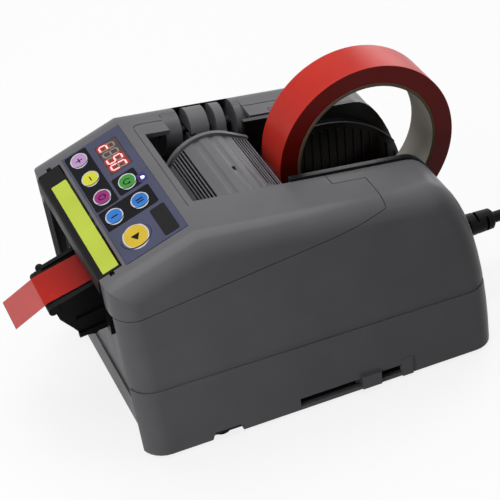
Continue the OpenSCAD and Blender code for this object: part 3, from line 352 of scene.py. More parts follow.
@dataclass(frozen=True)
class WoundFilm(Finish):
    """Film wound into a roll: smooth round the outside, fine rings on the two sides.

    Attributes:
        edge: Colour of the stacked film edges, sRGB hex.
        edge_shade: Colour of the rings between them, sRGB hex.
        axis: Place of the roll's axis in the XZ plane, in mm.
        ring: Width of one visible ring, in mm.
    """

    edge: str = "#7c1610"
    edge_shade: str = "#5a0f0a"
    axis: Point2 = (75.2, 108.3)
    ring: float = 1.1

    def rings(self, tree: Tree, place: Socket) -> Socket:
        """Adds uneven rings about the roll's axis.

        Args:
            tree: Node tree that takes the nodes.
            place: Object coordinates, in metres.

        Returns:
            Ring height from 0 to 1.
        """
        centre = (self.axis[0] * MM, 0.0, self.axis[1] * MM)
        arm = add_node(tree, VECTOR_MATH, {"operation": "SUBTRACT"}, {0: place, 1: centre}).outputs[0]
        level = add_node(tree, VECTOR_MATH, {"operation": "MULTIPLY"}, {0: arm, 1: (1.0, 0.0, 1.0)})
        reach = add_node(tree, VECTOR_MATH, {"operation": "LENGTH"}, {0: level.outputs[0]})
        spot = add_node(tree, "ShaderNodeCombineXYZ", None, {"X": reach.outputs["Value"]})
        return self.marks(tree, spot.outputs[0], (self.ring, 1.0, 1.0), 4.0)

    def side_share(self, tree: Tree) -> Socket:
        """Tells the two flat sides of the roll from its outside.

        Args:
            tree: Node tree that takes the nodes.

        Returns:
            A factor of 1 on the sides and 0 round the outside.
        """
        facing = {0: add_node(tree, COORDINATES).outputs["Normal"], 1: (0.0, 1.0, 0.0)}
        across = add_node(tree, VECTOR_MATH, {"operation": "DOT_PRODUCT"}, facing).outputs["Value"]
        amount = add_node(tree, MATH, {"operation": "ABSOLUTE"}, {0: across})
        span = {"Value": amount.outputs[0], "From Min": 0.55, "From Max": 0.9}
        return add_node(tree, MAP_RANGE, None, span).outputs[0]

    def colour_of(self, tree: Tree, place: Socket) -> Socket:
        """Mixes the film's face with the ringed sides by the direction that the surface faces.

        Args:
            tree: Node tree that takes the nodes.
            place: Object coordinates, in metres.

        Returns:
            Colour socket for the shader.
        """
        face = Finish.colour_of(self, tree, place)
        ringed = {"Factor": self.rings(tree, place), 6: linear(self.edge), 7: linear(self.edge_shade)}
        sides = add_node(tree, MIX, RGBA, ringed).outputs[2]
        return add_node(tree, MIX, RGBA, {"Factor": self.side_share(tree), 6: face, 7: sides}).outputs[2]

    def height_of(self, tree: Tree, place: Socket) -> Socket:
        """Returns the ring height on the sides, and an even height round the outside."""
        factors = {0: self.rings(tree, place), 1: self.side_share(tree)}
        return add_node(tree, MATH, {"operation": "MULTIPLY"}, factors).outputs[0]


@dataclass(frozen=True)
class SlotShadeFinish(Finish):
    """Moulded vault with painted shade in its two groups of narrow slots, where little light comes.

    Attributes:
        depth: Painted shade colour at the bottom of the slots, sRGB hex.
        axis: Place of the vault's axis in the XZ plane, in mm.
        flat_angle: Angle at which the vault goes over into its straight skirt, in degrees.
        skin: Distances from the axis at which a slot's painted shade is full and gone, in mm.
        front_zone: The front slots lie where the reach along the skirt's normal is less than this, in mm.
        rear_zone: The rear slots lie further down the skirt than this, in mm.
        far_y: Past this Y the part isn't vault any more, in mm.
    """

    depth: str = "#121218"
    axis: Point2 = (-1.0, 96.5)
    flat_angle: float = 62.0
    skin: Point2 = (24.05, 24.42)
    front_zone: float = 13.6
    rear_zone: float = 2.8
    far_y: float = 24.3

    def colour_of(self, tree: Tree, place: Socket) -> Socket:
        """Paints shade into the slots of the vault and of its straight skirt.

        Args:
            tree: Node tree that takes the nodes.
            place: Object coordinates, in metres.

        Returns:
            Colour socket for the shader.
        """
        face = Finish.colour_of(self, tree, place)
        c, s = math.cos(math.radians(self.flat_angle)), math.sin(math.radians(self.flat_angle))
        centre = (self.axis[0] * MM, 0.0, self.axis[1] * MM)
        arm = add_node(tree, VECTOR_MATH, {"operation": "SUBTRACT"}, {0: place, 1: centre}).outputs[0]
        out, along, across = (
            add_node(tree, VECTOR_MATH, {"operation": "DOT_PRODUCT"}, {0: arm, 1: way}).outputs["Value"]
            for way in ((c, 0.0, s), (s, 0.0, -c), (0.0, 1.0, 0.0))
        )
        before = add_node(tree, MATH, {"operation": "MINIMUM"}, {0: along, 1: 0.0}).outputs[0]
        both = add_node(tree, "ShaderNodeCombineXYZ", None, {"X": out, "Y": before}).outputs[0]
        reach = add_node(tree, VECTOR_MATH, {"operation": "LENGTH"}, {0: both}).outputs["Value"]
        low, high = (value * MM for value in self.skin)
        span = {"Value": reach, "From Min": low, "From Max": high, "To Min": 1.0, "To Max": 0.0}
        # Share of painted shade: full deep in a slot, none on the cover's outer skin.
        dark = add_node(tree, MAP_RANGE, None, span).outputs[0]
        front, rear, vault = (
            add_node(tree, MATH, {"operation": test}, {0: value, 1: limit * MM}).outputs[0]
            for test, value, limit in (
                ("LESS_THAN", out, self.front_zone),
                ("GREATER_THAN", along, self.rear_zone),
                ("LESS_THAN", across, self.far_y),
            )
        )
        zone = add_node(tree, MATH, {"operation": "MAXIMUM"}, {0: front, 1: rear}).outputs[0]
        for share in (zone, vault):
            dark = add_node(tree, MATH, {"operation": "MULTIPLY"}, {0: dark, 1: share}).outputs[0]
        return add_node(tree, MIX, RGBA, {"Factor": dark, 6: face, 7: linear(self.depth)}).outputs[2]


# Injection-moulded ABS from a spark-eroded mould: an even, slightly soft grey with a broad satin highlight.
# Its grain is about 0.3 mm, drawn at 1.4 mm so that it shows.
ABS_GREY = Finish(
    "abs_moulded_satin_grey", "#636366", "#5e5e61", 0.42, 0.03, 1.53,
    relief=0.004, specular=0.07, coat=0.15, coat_roughness=0.16,
)
# The same ABS on the front apron, a little duller; its darker grey is painted shade on the face turned away from
# the light.
ABS_APRON_SHADED = Finish("abs_moulded_apron_grey_painted_shade", "#4c4c4f", "#464649", 0.46, 0.05, 1.53, relief=0.014)
# The same ABS in the ribbed feed cover: a little lighter on the ribs, with painted shade nearly black down in the
# slots.
ABS_SLOT_SHADED = SlotShadeFinish(
    "abs_moulded_grey_painted_slot_shade", "#69696c", "#646467", 0.46, 0.03, 1.53, relief=0.004, specular=0.12
)
# Black ABS with a fine grain: deep black with a soft grey bloom on its edges.
ABS_BLACK = Finish("abs_moulded_fine_black", "#0d0d0e", "#09090a", 0.40, 0.07, 1.53, specular=0.07)
# The same ABS from a polished mould, for the ribbed plates of the well: deep black, gleaming on the ribs.
ABS_LINER = Finish("abs_polished_black", "#0a0a0c", "#08080a", 0.30, 0.05, 1.53, relief=0.006)
# Mid-grey ABS for the well beads: a thin painted highlight line on the well plates' rims.
ABS_HIGHLIGHT_LINE = Finish("abs_painted_highlight_grey", "#4c4c50", "#424246", 0.40, 0.05, 1.53, relief=0.006, specular=0.15)
# Coarser grained black ABS of the underside: dull, with a grain that catches the light.
ABS_BASE = Finish(
    "abs_moulded_coarse_black", "#141415", "#101011", 0.55, 0.06, 1.53, (1.8,) * 3, 0.03, specular=0.15
)
# Moulded rubber: black with hardly any highlight.
RUBBER_BLACK = Finish("rubber_moulded_black", "#131313", "#0e0e0e", 0.75, ior=1.52, relief=0.03, specular=0.15)
# Extruded and moulded soft PVC: black with a waxy sheen.
PVC_BLACK = Finish("pvc_moulded_soft_black", "#0f0f10", "#0b0b0c", 0.42, 0.08, 1.54, (2.0,) * 3, specular=0.08)
# Passivated zinc on rolled sheet steel: mid-grey metal with fine rolling lines along X.
STEEL_ZINC = Finish("steel_rolled_zinc", "#85888c", "#777a7e", 0.38, 0.08, metallic=1.0, grain=(30.0, 0.7, 0.7))
# Ground tool steel: a little brighter, with finer lines round the axis, which lies along Y.
STEEL_GROUND = Finish("steel_ground_bright", "#94969a", "#86888c", 0.26, metallic=1.0, grain=(20.0, 0.6, 20.0))
# Blackened steel wire and pin of the hinge: dark metal with a dull gleam.
STEEL_BLACK = Finish("steel_drawn_blackened", "#3a3b3d", "#303133", 0.38, metallic=1.0, grain=(12.0, 0.8, 0.8))
# Sintered bronze of the bushes: brown metal, dull from its pores.
BRONZE = Finish("bronze_sintered", "#8c6a3f", "#755632", 0.45, 0.08, metallic=1.0, grain=(0.8, 0.8, 0.8))
# Turned brass: yellow metal with tool lines round the axis, which lies along Y.
BRASS = Finish("brass_turned", "#c9a24e", "#b58e3e", 0.26, metallic=1.0, grain=(20.0, 0.7, 20.0))
# Moulded acetal: milky white with a greasy sheen.
ACETAL_WHITE = Finish("acetal_moulded_white", "#dcdbd4", "#d0cfc7", 0.36, ior=1.48, relief=0.008)
# Turned acetal: mid grey with tool lines round the axis, which lies along Y.
ACETAL_GREY = Finish("acetal_turned_grey", "#6d6d70", "#626265", 0.42, ior=1.48, grain=(20.0, 0.8, 20.0))
# Moulded silicone: pale translucent grey that tape doesn't stick to, quite dull.
SILICONE = Finish("silicone_moulded_pale", "#b9b5ae", "#aaa69f", 0.58, ior=1.41, relief=0.02)
# Calendered PVC film on the roll: glossy red outside, dark ringed sides where the film edges stack up.
TAPE_WOUND = WoundFilm("pvc_film_wound_red", "#c22c20", "#b7281d", 0.34, 0.05, 1.54, relief=0.03, specular=0.12)
# One layer of the same film: red that lets about a tenth of the light through its two faces.
TAPE_FILM = ThinFilm(
    "pvc_film_single_red", "#c42a22", "#b8261e", 0.24, 0.05, 1.54, (24.0, 1.2, 24.0), 0.02, specular=0.1
)
# Spiral-wound grey card of the core: dull, with paper fibres along the winding and olive-brown cut edges.
CARD = WoundFilm(
    "card_wound_grey", "#b3aea7", "#a39e97", 0.82, 0.05, 1.5, (5.0, 0.8, 5.0), 0.04,
    specular=0.1, edge="#75684f", edge_shade="#5f543f", ring=0.8,
)
# Printed polyester film over the keys: slate grey-blue with a very fine matt texture, drawn at 0.8 mm.
FILM_SLATE = Finish(
    "polyester_film_printed_slate", "#474a61", "#42455b", 0.40, 0.05, 1.57, (0.8,) * 3, 0.006, specular=0.1
)
# Tinted acrylic window: dark red-brown and glossy.
ACRYLIC_RED = Finish("acrylic_moulded_dark_red", "#341a18", "#2c1614", 0.12, 0.04, 1.49, relief=0.002, coat=0.3)
# Epoxy glass board under solder mask: green with the weave showing faintly at 0.8 mm.
BOARD_GREEN = Finish("epoxy_glass_solder_mask_green", "#1f5a34", "#184a2a", 0.35, 0.06, 1.52, (0.8,) * 3, 0.02)
# Enamelled copper wire under varnish: copper brown, one wire every 0.9 mm.
COPPER_WOUND = Finish("copper_enamelled_wound", "#7a4122", "#5d2f17", 0.34, metallic=0.6, grain=(12.0, 0.9, 12.0))
# Nickel on drawn steel: smooth grey metal.
NICKEL_DRAWN = Finish("nickel_on_drawn_steel", "#a5a6a8", "#949598", 0.28, metallic=1.0, grain=(1.0, 12.0, 1.0))
# Clear epoxy lens over a lit violet-white lamp: a small bright spot.
LENS_LIT = LitFinish("epoxy_lens_violet_lit", "#d9d4f2", "#cfc8ee", 0.15, 0.04, glow="#d6ccff", strength=0.75)
# Polished ABS key faces: clear colours with a tight highlight and a soft bloom from finger wear.
KEY_PINK = Finish("abs_polished_pink", "#bd93c4", "#b389bb", 0.27, 0.07, 1.53, relief=0.004)
KEY_YELLOW = Finish("abs_polished_yellow", "#d6d72c", "#cccb26", 0.27, 0.07, 1.53, relief=0.004)
KEY_MAGENTA = Finish("abs_polished_magenta", "#962a78", "#8a256e", 0.27, 0.07, 1.53, relief=0.004, specular=0.15)
KEY_BLUE = Finish("abs_polished_blue", "#2f78c8", "#2a6dba", 0.27, 0.07, 1.53, relief=0.004, specular=0.15)
KEY_GREEN = Finish("abs_polished_green", "#3b9335", "#348730", 0.27, 0.07, 1.53, relief=0.004, specular=0.15)
KEY_AMBER = Finish("abs_polished_amber", "#d0b01a", "#c6a617", 0.27, 0.07, 1.53, relief=0.004)
# Screen-printed inks: matt, with the mesh of the screen as a faint 0.7 mm relief.
INK_BLACK = Finish("screen_ink_black", "#0e0e11", "#0b0b0e", 0.50, 0.05, 1.5, (0.7,) * 3, 0.006, specular=0.06)
INK_WHITE = Finish("screen_ink_white", "#c9c9d0", "#bdbdc5", 0.50, 0.05, 1.5, (0.7,) * 3, 0.006)
INK_VIOLET = Finish("screen_ink_violet", "#2a1a66", "#24165a", 0.50, 0.05, 1.5, (0.7,) * 3, 0.006)
# Self-adhesive vinyl strip: yellow-green, satin.
VINYL_YELLOW = Finish(
    "vinyl_strip_yellow", "#bccc48", "#b3c242", 0.36, 0.06, 1.52, (1.2,) * 3, 0.008, specular=0.15
)
# Bare plate of black anodised aluminium: satin black with brushed lines along Y.
PLATE_BLACK = Finish(
    "aluminium_anodised_black", "#101012", "#0c0c0e", 0.34, 0.06, 1.6, (0.7, 16.0, 0.7), 0.01, specular=0.08
)
# Moulded bars of the number display behind their tinted window: the lit ones nearly white in a deep red glow,
# the others a dull beige.
BAR_LIT = LitFinish("display_bar_lit_red", "#ffb8b4", "#ffaeaa", 0.3, 0.04, glow="#ffbcb8", strength=0.75)
BAR_DARK = Finish("display_bar_dark_red", "#93877b", "#897d72", 0.25, 0.04, relief=0.002)
BAR_GLOW = LitFinish("display_glow_red", "#7a1218", "#6e1015", 0.3, 0.04, glow="#a81a24", strength=0.45)

SLOT_FINISH: dict[str, Finish] = {
    "housing_grey": ABS_GREY,
    "apron_grey": ABS_APRON_SHADED,
    "black_plastic": ABS_BLACK,
    "base_black": ABS_BASE,
    "black_rubber": RUBBER_BLACK,
    "pvc_black": PVC_BLACK,
    "steel": STEEL_ZINC,
    "ground_steel": STEEL_GROUND,
    "bronze": BRONZE,
    "brass": BRASS,
    "gear_white": ACETAL_WHITE,
    "roller_grey": ACETAL_GREY,
    "silicone": SILICONE,
    "tape_red": TAPE_WOUND,
    "card": CARD,
    "membrane": FILM_SLATE,
    "filter_red": ACRYLIC_RED,
    "pcb": BOARD_GREEN,
    "winding": COPPER_WOUND,
    "motor_can": NICKEL_DRAWN,
    "led_lens": LENS_LIT,
    "key_pink": KEY_PINK,
    "key_yellow": KEY_YELLOW,
    "key_magenta": KEY_MAGENTA,
    "key_blue": KEY_BLUE,
    "key_green": KEY_GREEN,
    "key_amber": KEY_AMBER,
}


def dress(piece: bpy.types.Object, finish: Finish) -> None:
    """Gives a piece one finish in place of any it had."""
    piece.data.materials.clear()
    piece.data.materials.append(finish.material())


def mount(piece: bpy.types.Object, finish: Finish, body: str, slot: str) -> None:
    """Dresses a new piece and lets it ride.

    Args:
        piece: The piece.
        finish: Its finish.
        body: Body that carries it.
        slot: Material slot that it belongs to; not used.
    """
    dress(piece, finish)
    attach(piece, body)
    LOG.info("%s rides on %s", piece.name, body)


def ease_edges(piece: bpy.types.Object, width: float) -> None:
    """Eases a solid's sharp edges as a mould or a file does, and shades its curves smoothly.

    Args:
        piece: Object to ease; its mesh stays as it is, under modifiers.
        width: Width of the eased edge, in mm; 0 only smooths.
    """
    for face in piece.data.polygons:
        face.use_smooth = True
    weld = piece.modifiers.new("weld", "WELD")
    weld.merge_threshold = WELD_GAP * MM
    flat_faces = piece.modifiers.new("flat_faces", "DECIMATE")
    flat_faces.decimate_type = "DISSOLVE"
    flat_faces.angle_limit = math.radians(FLAT_ANGLE)
    if width > 0:
        bevel = piece.modifiers.new("eased_edges", "BEVEL")
        bevel.width = width * MM
        bevel.segments = 2
        bevel.limit_method = "ANGLE"
        bevel.angle_limit = math.radians(SHARP_ANGLE)
        bevel.use_clamp_overlap = True
        bevel.harden_normals = False
    normals = piece.modifiers.new("even_shading", "WEIGHTED_NORMAL")
    normals.keep_sharp = False
    normals.weight = 80


@dataclass
class Studio:
    """Camera at the photograph's angle, pale floor, soft light and white background.

    Attributes:
        image_px: Side of the square picture, in pixels.
        focal_px: Focal length, in pixels.
        sensor: Width of the sensor, in mm.
        eye: Where the camera stands, in mm.
        right: Direction to the picture's right.
        up: Direction to the picture's top.
        forward: Direction that the camera looks in.
        floor_half: Half of the floor's side, in metres.
        floor_white: Share of plain white in what the camera sees of the floor; the rest takes shadows.
        floor_paper: Colours of the floor's paper, sRGB hex.
        floor_fibre: Size of the paper's fibres, in mm.
        floor_bounce: Colour of the floor in the light that it throws back, sRGB hex.
        room_level: Light from all sides.
    """

    image_px: float = 500.0
    focal_px: float = 1773.93
    sensor: float = 36.0
    eye: Point3 = (-241.8, -727.05, 619.6)
    right: Point3 = (0.92037, -0.38197, -0.08373)
    up: Point3 = (0.28880, 0.51960, 0.80411)
    forward: Point3 = (0.26360, 0.76428, -0.58854)
    floor_half: float = 6.0
    floor_white: float = 0.82
    floor_paper: tuple[str, str] = ("#f6f6f6", "#f1f1f1")
    floor_fibre: float = 5.56
    floor_bounce: str = "#4a4a4a"
    room_level: float = 0.12

    # Name of each softbox, where it hangs and the point that it faces, the side of its square and its power;
    # in metres and watts.
    softboxes: ClassVar[tuple[tuple[str, Point3, Point3, float, float], ...]] = (
        ("softbox_top", (0.05, 0.25, 1.5), (0.0, 0.0, 0.08), 1.3, 21.0),
        ("softbox_front", (-1.3, -0.5, 0.9), (0.0, 0.0, 0.08), 0.9, 3.0),
        ("softbox_near", (-0.34, -0.32, 0.10), (-0.04, -0.07, 0.05), 0.25, 0.8),
        ("softbox_rear", (2.5, 2.5, 1.1), (0.05, 0.05, 0.06), 2.0, 27.0),
    )

    def camera(self) -> None:
        """Places the camera of the photograph and makes it the scene's camera."""
        lens = bpy.data.cameras.new("camera")
        lens.sensor_width = self.sensor
        lens.lens = self.focal_px / self.image_px * self.sensor
        lens.clip_start = 0.02
        lens.clip_end = 60.0
        camera = add_object("camera", lens)
        turn = Matrix((self.right, self.up, tuple(-f for f in self.forward))).transposed().to_4x4()
        camera.matrix_world = Matrix.Translation(Vector(self.eye) * MM) @ turn
        bpy.context.scene.camera = camera

    def lights(self) -> None:
        """Hangs the softboxes, which don't show themselves."""
        for name, place, aim, size, watts in self.softboxes:
            light = bpy.data.lights.new(name, "AREA")
            light.shape = "SQUARE"
            light.size = size
            light.energy = watts
            lamp = add_object(name, light)
            lamp.location = place
            lamp.rotation_euler = (Vector(aim) - Vector(place)).to_track_quat("-Z", "Y").to_euler()
            lamp.visible_camera = False

    def seen_rays(self, tree: Tree) -> Socket:
        """Tells what is seen, straight, mirrored or through glass, from what only lights the object.

        Args:
            tree: Node tree that takes the nodes.

        Returns:
            A factor of 1 for what is seen and 0 for light.
        """
        path = add_node(tree, "ShaderNodeLightPath")
        seen = path.outputs["Is Camera Ray"]
        for ray in ("Is Glossy Ray", "Is Transmission Ray"):
            seen = add_node(tree, MATH, {"operation": "MAXIMUM"}, {0: seen, 1: path.outputs[ray]}).outputs[0]
        return seen

    def floor(self) -> None:
        """Lays the pale floor, which looks white and keeps the object's shadow."""
        paper = bpy.data.materials.new("paper_roll_white")
        paper.use_nodes = True
        tree = paper.node_tree
        tree.nodes.clear()
        seen = self.seen_rays(tree)
        place = add_node(tree, COORDINATES).outputs["Object"]
        grain = {"Vector": place, "Scale": 1 / (MM * self.floor_fibre), "Detail": 3.0}
        fibre = add_node(tree, NOISE, None, grain).outputs["Fac"]
        pale, shade = (linear(colour) for colour in self.floor_paper)
        tone = add_node(tree, MIX, RGBA, {"Factor": fibre, 6: pale, 7: shade}).outputs[2]
        tint = add_node(tree, MIX, RGBA, {"Factor": seen, 6: linear(self.floor_bounce), 7: tone}).outputs[2]
        share = add_node(tree, MATH, {"operation": "MULTIPLY"}, {0: seen, 1: self.floor_white}).outputs[0]
        matt = add_node(tree, "ShaderNodeBsdfDiffuse", None, {"Color": tint}).outputs[0]
        white = add_node(tree, "ShaderNodeEmission", None, {"Color": WHITE, "Strength": 1.0}).outputs[0]
        both = add_node(tree, "ShaderNodeMixShader", None, {0: share, 1: matt, 2: white})
        add_node(tree, "ShaderNodeOutputMaterial", None, {"Surface": both.outputs[0]})
        half = self.floor_half
        mesh = bpy.data.meshes.new("floor")
        mesh.from_pydata([(-half, -half, 0), (half, -half, 0), (half, half, 0), (-half, half, 0)], [], [range(4)])
        mesh.materials.append(paper)
        add_object("floor", mesh)

    def world(self) -> None:
        """Fills the room with soft light and shows white behind the object."""
        world = bpy.data.worlds.new("studio")
        world.use_nodes = True
        bpy.context.scene.world = world
        tree = world.node_tree
        tree.nodes.clear()
        room, white = (
            add_node(tree, "ShaderNodeBackground", None, {"Color": WHITE, "Strength": strength}).outputs[0]
            for strength in (self.room_level, 1.0)
        )
        both = add_node(tree, "ShaderNodeMixShader", None, {0: self.seen_rays(tree), 1: room, 2: white})
        add_node(tree, "ShaderNodeOutputWorld", None, {"Surface": both.outputs[0]})

    def build(self) -> None:
        """Builds the whole studio."""
        bpy.context.scene.view_settings.view_transform = "Standard"
        self.camera()
        self.floor()
        self.lights()
        self.world()
        LOG.info("studio: camera, floor, softboxes")


@dataclass
class MainsLead:
    """Mains lead out of the rear wall, its coil put away on the table, and the plug on it.

    Attributes:
        diameter: Diameter of the lead, in mm.
        coil_centre: Middle of the coil's lower layer, in mm.
        coil_out: Outer radius of the coil at the middle of the lead, in mm.
        coil_in: Inner radius of the coil at the middle of the lead, in mm.
        pitch: Distance from turn to turn, in mm.
        layer: Height of the upper layer over the lower one, in mm.
        steps: Points in one turn.
        plug_x: Where the lead enters the plug, in mm.
        end_steps: Points on the straight end at the plug.
    """

    diameter: float = 6.5
    coil_centre: Point3 = (243.0, 39.0, 4.6)
    coil_out: float = 49.0
    coil_in: float = 27.0
    pitch: float = 8.0
    layer: float = 7.2
    steps: int = 24
    plug_x: float = 281.0
    end_steps: int = 5

    # Out of the strain relief, down under its own weight and along the table to the coil, all at one Y: X and Z.
    free_y: ClassVar[float] = -10.0
    free: ClassVar[tuple[Point2, ...]] = (
        (149.8, 38.0), (157.0, 38.0), (163.0, 37.6), (169.0, 36.4), (175.0, 34.2), (180.5, 31.0), (185.5, 26.8),
        (190.0, 21.8), (194.5, 16.6), (199.0, 12.4), (204.0, 9.0), (209.5, 6.6), (215.5, 5.2), (222.0, 4.6),
        (229.0, 4.6), (236.5, 4.6),
    )

    def coil(self) -> list[Point3]:
        """Winds the coil inwards on the table, up one layer and outwards again.

        Returns:
            Points of the coil, in mm.
        """
        turns = (self.coil_out - self.coil_in) / self.pitch
        x, y, z = self.coil_centre
        points = []
        for i in range(round((2 * turns + 0.5) * self.steps) + 1):
            u = i / self.steps
            inwards, outwards = self.coil_out - self.pitch * u, self.coil_in + self.pitch * (u - turns - 0.5)
            rise = self.layer * min(1.0, max(0.0, (u - turns) / 0.5))
            spot = polar((x, y), max(inwards, self.coil_in, outwards), math.radians(360 * u - 90))
            points.append((*spot, z + rise))
        return points

    def route(self) -> list[Vector]:
        """Joins the free run, the coil and the short end at the plug.

        Returns:
            Points of the whole lead, in metres.
        """
        coil = self.coil()
        x, y, z = coil[-1]
        points = [(free_x, self.free_y, free_z) for free_x, free_z in self.free] + coil
        points += [(x + (self.plug_x - x) * i / self.end_steps, y, z) for i in range(1, self.end_steps + 1)]
        return [Vector(p) * MM for p in points]

    def build(self) -> None:
        points = self.route()
        lead = make_rod("mains_lead", points, self.diameter, 4)
        mount(lead, PVC_BLACK, "housing", "pvc_black")
        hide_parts("cord", "cord_coil")


class Symbol(Enum):
    """Plain signs on the key caps."""

    PLUS = "plus"
    MINUS = "minus"
    RING = "ring"
    ONE_BAR = "one_bar"
    TWO_BARS = "two_bars"
    LOOP = "loop"
    TRIANGLE = "triangle"


@dataclass(frozen=True)
class PanelFrame:
    """The sloping panel's own axes: up the slope, along Y, and off the surface, all in mm."""

    brow_x: float = -87.0
    brow_z: float = 108.8
    tilt: float = 19.5265

    def at(self, up_slope: float, y: float, off: float) -> Vector:
        """Returns a panel point in the row frame, in metres."""
        c, s = math.cos(math.radians(self.tilt)), math.sin(math.radians(self.tilt))
        return Vector((self.brow_x + up_slope * c - off * s, y, self.brow_z + up_slope * s + off * c)) * MM


PANEL = PanelFrame()


class Stencil:
    """Flat shapes gathered on the panel, turned into one thin raised mesh."""

    def __init__(self) -> None:
        """Starts with no shapes."""
        self.shapes: list[list[Point2]] = []

    def fill(self, outline: Sequence[Point2]) -> None:
        """Adds a filled outline of (up_slope, y) points, in mm."""
        self.shapes.append(list(outline))

    def bar(self, centre: Point2, size: Point2, radius: float = 0.0, lean: float = 0.0) -> None:
        """Adds a bar with rounded corners.

        Args:
            centre: Middle of the bar, in mm.
            size: Size up the slope and along Y, in mm.
            radius: Corner radius, in mm.
            lean: Degrees that it is turned on the panel.
        """
        half_u, half_y = size[0] / 2, size[1] / 2
        radius = min(radius, half_u, half_y)
        steps = 6 if radius > 0 else 0
        outline = []
        for k, (su, sy) in enumerate(((1, 1), (-1, 1), (-1, -1), (1, -1))):
            corner = (su * (half_u - radius), sy * (half_y - radius))
            for i in range(steps + 1):
                outline.append(polar(corner, radius, math.radians(90 * k + 90 * i / max(steps, 1))))
        c, s = math.cos(math.radians(lean)), math.sin(math.radians(lean))
        self.fill([(centre[0] + u * c - y * s, centre[1] + u * s + y * c) for u, y in outline])

    def box(self, box: Box2, radius: float) -> None:
        """Adds a bar given by from and to up the slope, then from and to along Y, in mm."""
        low_u, high_u, low_y, high_y = box
        self.bar(((low_u + high_u) / 2, (low_y + high_y) / 2), (high_u - low_u, high_y - low_y), radius)

    def band(self, turns: Sequence[float], edge: Callable[[float], tuple[Point2, Point2]]) -> None:
        """Adds a band round a middle, cell by cell; a cell without width is left out.

        Args:
            turns: Angles of the sides of the cells, in radians.
            edge: Gives the band's inner and outer point at an angle, in mm.
        """
        for a, b in zip(turns, turns[1:]):
            (in_a, out_a), (in_b, out_b) = edge(a), edge(b)
            corners = list(dict.fromkeys((in_a, out_a, out_b, in_b)))
            if len(corners) > 2:
                self.fill(corners)

    def ring(
        self, centre: Point2, inner: float, outer: float, start: float = 0.0, sweep: float = 360.0
    ) -> None:
        """Adds a ring or a part of one.

        Args:
            centre: Middle of the ring, in mm.
            inner: Inner radius, in mm.
            outer: Outer radius, in mm.
            start: Angle at which it begins, in degrees.
            sweep: Angle that it covers, in degrees.
        """
        steps = max(8, round(sweep / 9))

        def edge(turn: float) -> tuple[Point2, Point2]:
            """Returns the ring's inner and outer point at an angle in radians, in mm."""
            return polar(centre, inner, turn), polar(centre, outer, turn)

        self.band([math.radians(start + sweep * i / steps) for i in range(steps + 1)], edge)

    def oval(
        self, centre: Point2, inner: Point2, outer: Point2, low: float = 0.0, high: float = math.inf
    ) -> None:
        """Adds the part of an oval band that lies between two distances from its middle.

        Args:
            centre: Middle of the band, in mm.
            inner: Half sizes of its inside up the slope and along Y, in mm.
            outer: Half sizes of its outside, in mm.
            low: Nothing is added nearer to the middle than this, in mm.
            high: Nothing is added further from the middle than this, in mm.
        """
        steps, least = 56, 0.02

        def edge(turn: float) -> tuple[Point2, Point2]:
            """Finds the band's two edges.

            Args:
                turn: Angle, in radians.

            Returns:
                Inner and outer point, in mm; the inner one twice where the band is too narrow.
            """
            c, s = math.cos(turn), math.sin(turn)
            near, far = (min(max(1 / math.hypot(c / a, s / b), low), high) for a, b in (inner, outer))
            return polar(centre, near, turn), polar(centre, far if far - near > least else near, turn)

        self.band([math.tau * i / steps for i in range(steps + 1)], edge)

    def holed(self, box: Box2, centre: Point2, radius: float, sharp: Sequence[Point2]) -> None:
        """Adds a rectangle with a round hole; its corners are cut a little, apart from the sharp ones.

        Args:
            box: From and to up the slope, then from and to along Y, in mm.
            centre: Middle of the hole, in mm.
            radius: Radius of the hole, in mm.
            sharp: Corners that aren't cut, in mm.
        """
        steps = 44
        turns = [math.tau * (i + 0.5) / steps for i in range(steps)]
        turns += [math.atan2(y - centre[1], u - centre[0]) % math.tau for u, y in sharp]
        turns.sort()

        def edge(turn: float) -> tuple[Point2, Point2]:
            """Finds the edges of the hole and of the rectangle.

            Args:
                turn: Angle, in radians.

            Returns:
                Point of the hole and point of the rectangle, in mm.
            """
            c, s = math.cos(turn), math.sin(turn)
            far = min((box[c > 0] - centre[0]) / c, (box[2 + (s > 0)] - centre[1]) / s)
            return polar(centre, radius, turn), polar(centre, far, turn)

        self.band([*turns, turns[0]], edge)

    def patch(self, centre: Point2, inner: float, size: Point2) -> None:
        """Adds a patch with soft corners and a round hole in its middle.

        Args:
            centre: Middle of the patch, in mm.
            inner: Radius of the hole, in mm.
            size: Size of the patch up the slope and along Y, in mm.
        """
        steps, square = 40, 5.0

        def edge(turn: float) -> tuple[Point2, Point2]:
            """Finds the edges of the hole and of the patch.

            Args:
                turn: Angle, in radians.

            Returns:
                Point of the hole and point of the patch, in mm.
            """
            c, s = math.cos(turn), math.sin(turn)
            reach = (abs(c) ** square + abs(s) ** square) ** (-1 / square)
            far = (centre[0] + size[0] / 2 * reach * c, centre[1] + size[1] / 2 * reach * s)
            return polar(centre, inner, turn), far

        self.band([math.tau * i / steps for i in range(steps + 1)], edge)

    def build(
        self, name: str, low: float, high: float, dish: Callable[[float, float], float] | None = None
    ) -> bpy.types.Object:
        """Raises the shapes off the panel as one mesh.

        Args:
            name: Name of the piece.
            low: Foot of the shapes off the panel, in mm.
            high: Top of the shapes off the panel, in mm.
            dish: Extra height at a panel point, in mm; none on a flat face.

        Returns:
            The mesh object.
        """
        form = bmesh.new()
        for outline in self.shapes:
            extra = [dish(u, y) if dish else 0.0 for u, y in outline]
            tops, feet = (
                [PANEL.at(u, y, off + more) for (u, y), more in zip(outline, extra)] for off in (high, low)
            )
            add_prism(form, tops, feet)
        bmesh.ops.remove_doubles(form, verts=form.verts, dist=0.0005 * MM)
        return make_piece(name, form)


@dataclass(frozen=True)
class KeyCap:
    """One key on the panel, in mm.

    Attributes:
        body: Body that the key is.
        up_slope: Its place up the slope.
        y: Its place along Y.
        diameter: Diameter of its round cap.
        sign: Sign on it.
        face: Half sizes of its oval face up the slope and along Y.
        slot: Material slot of the face.
    """

    body: str
    up_slope: float
    y: float
    diameter: float
    sign: Symbol
    face: Point2 = (4.2, 5.7)
    slot: str = "key_blue"


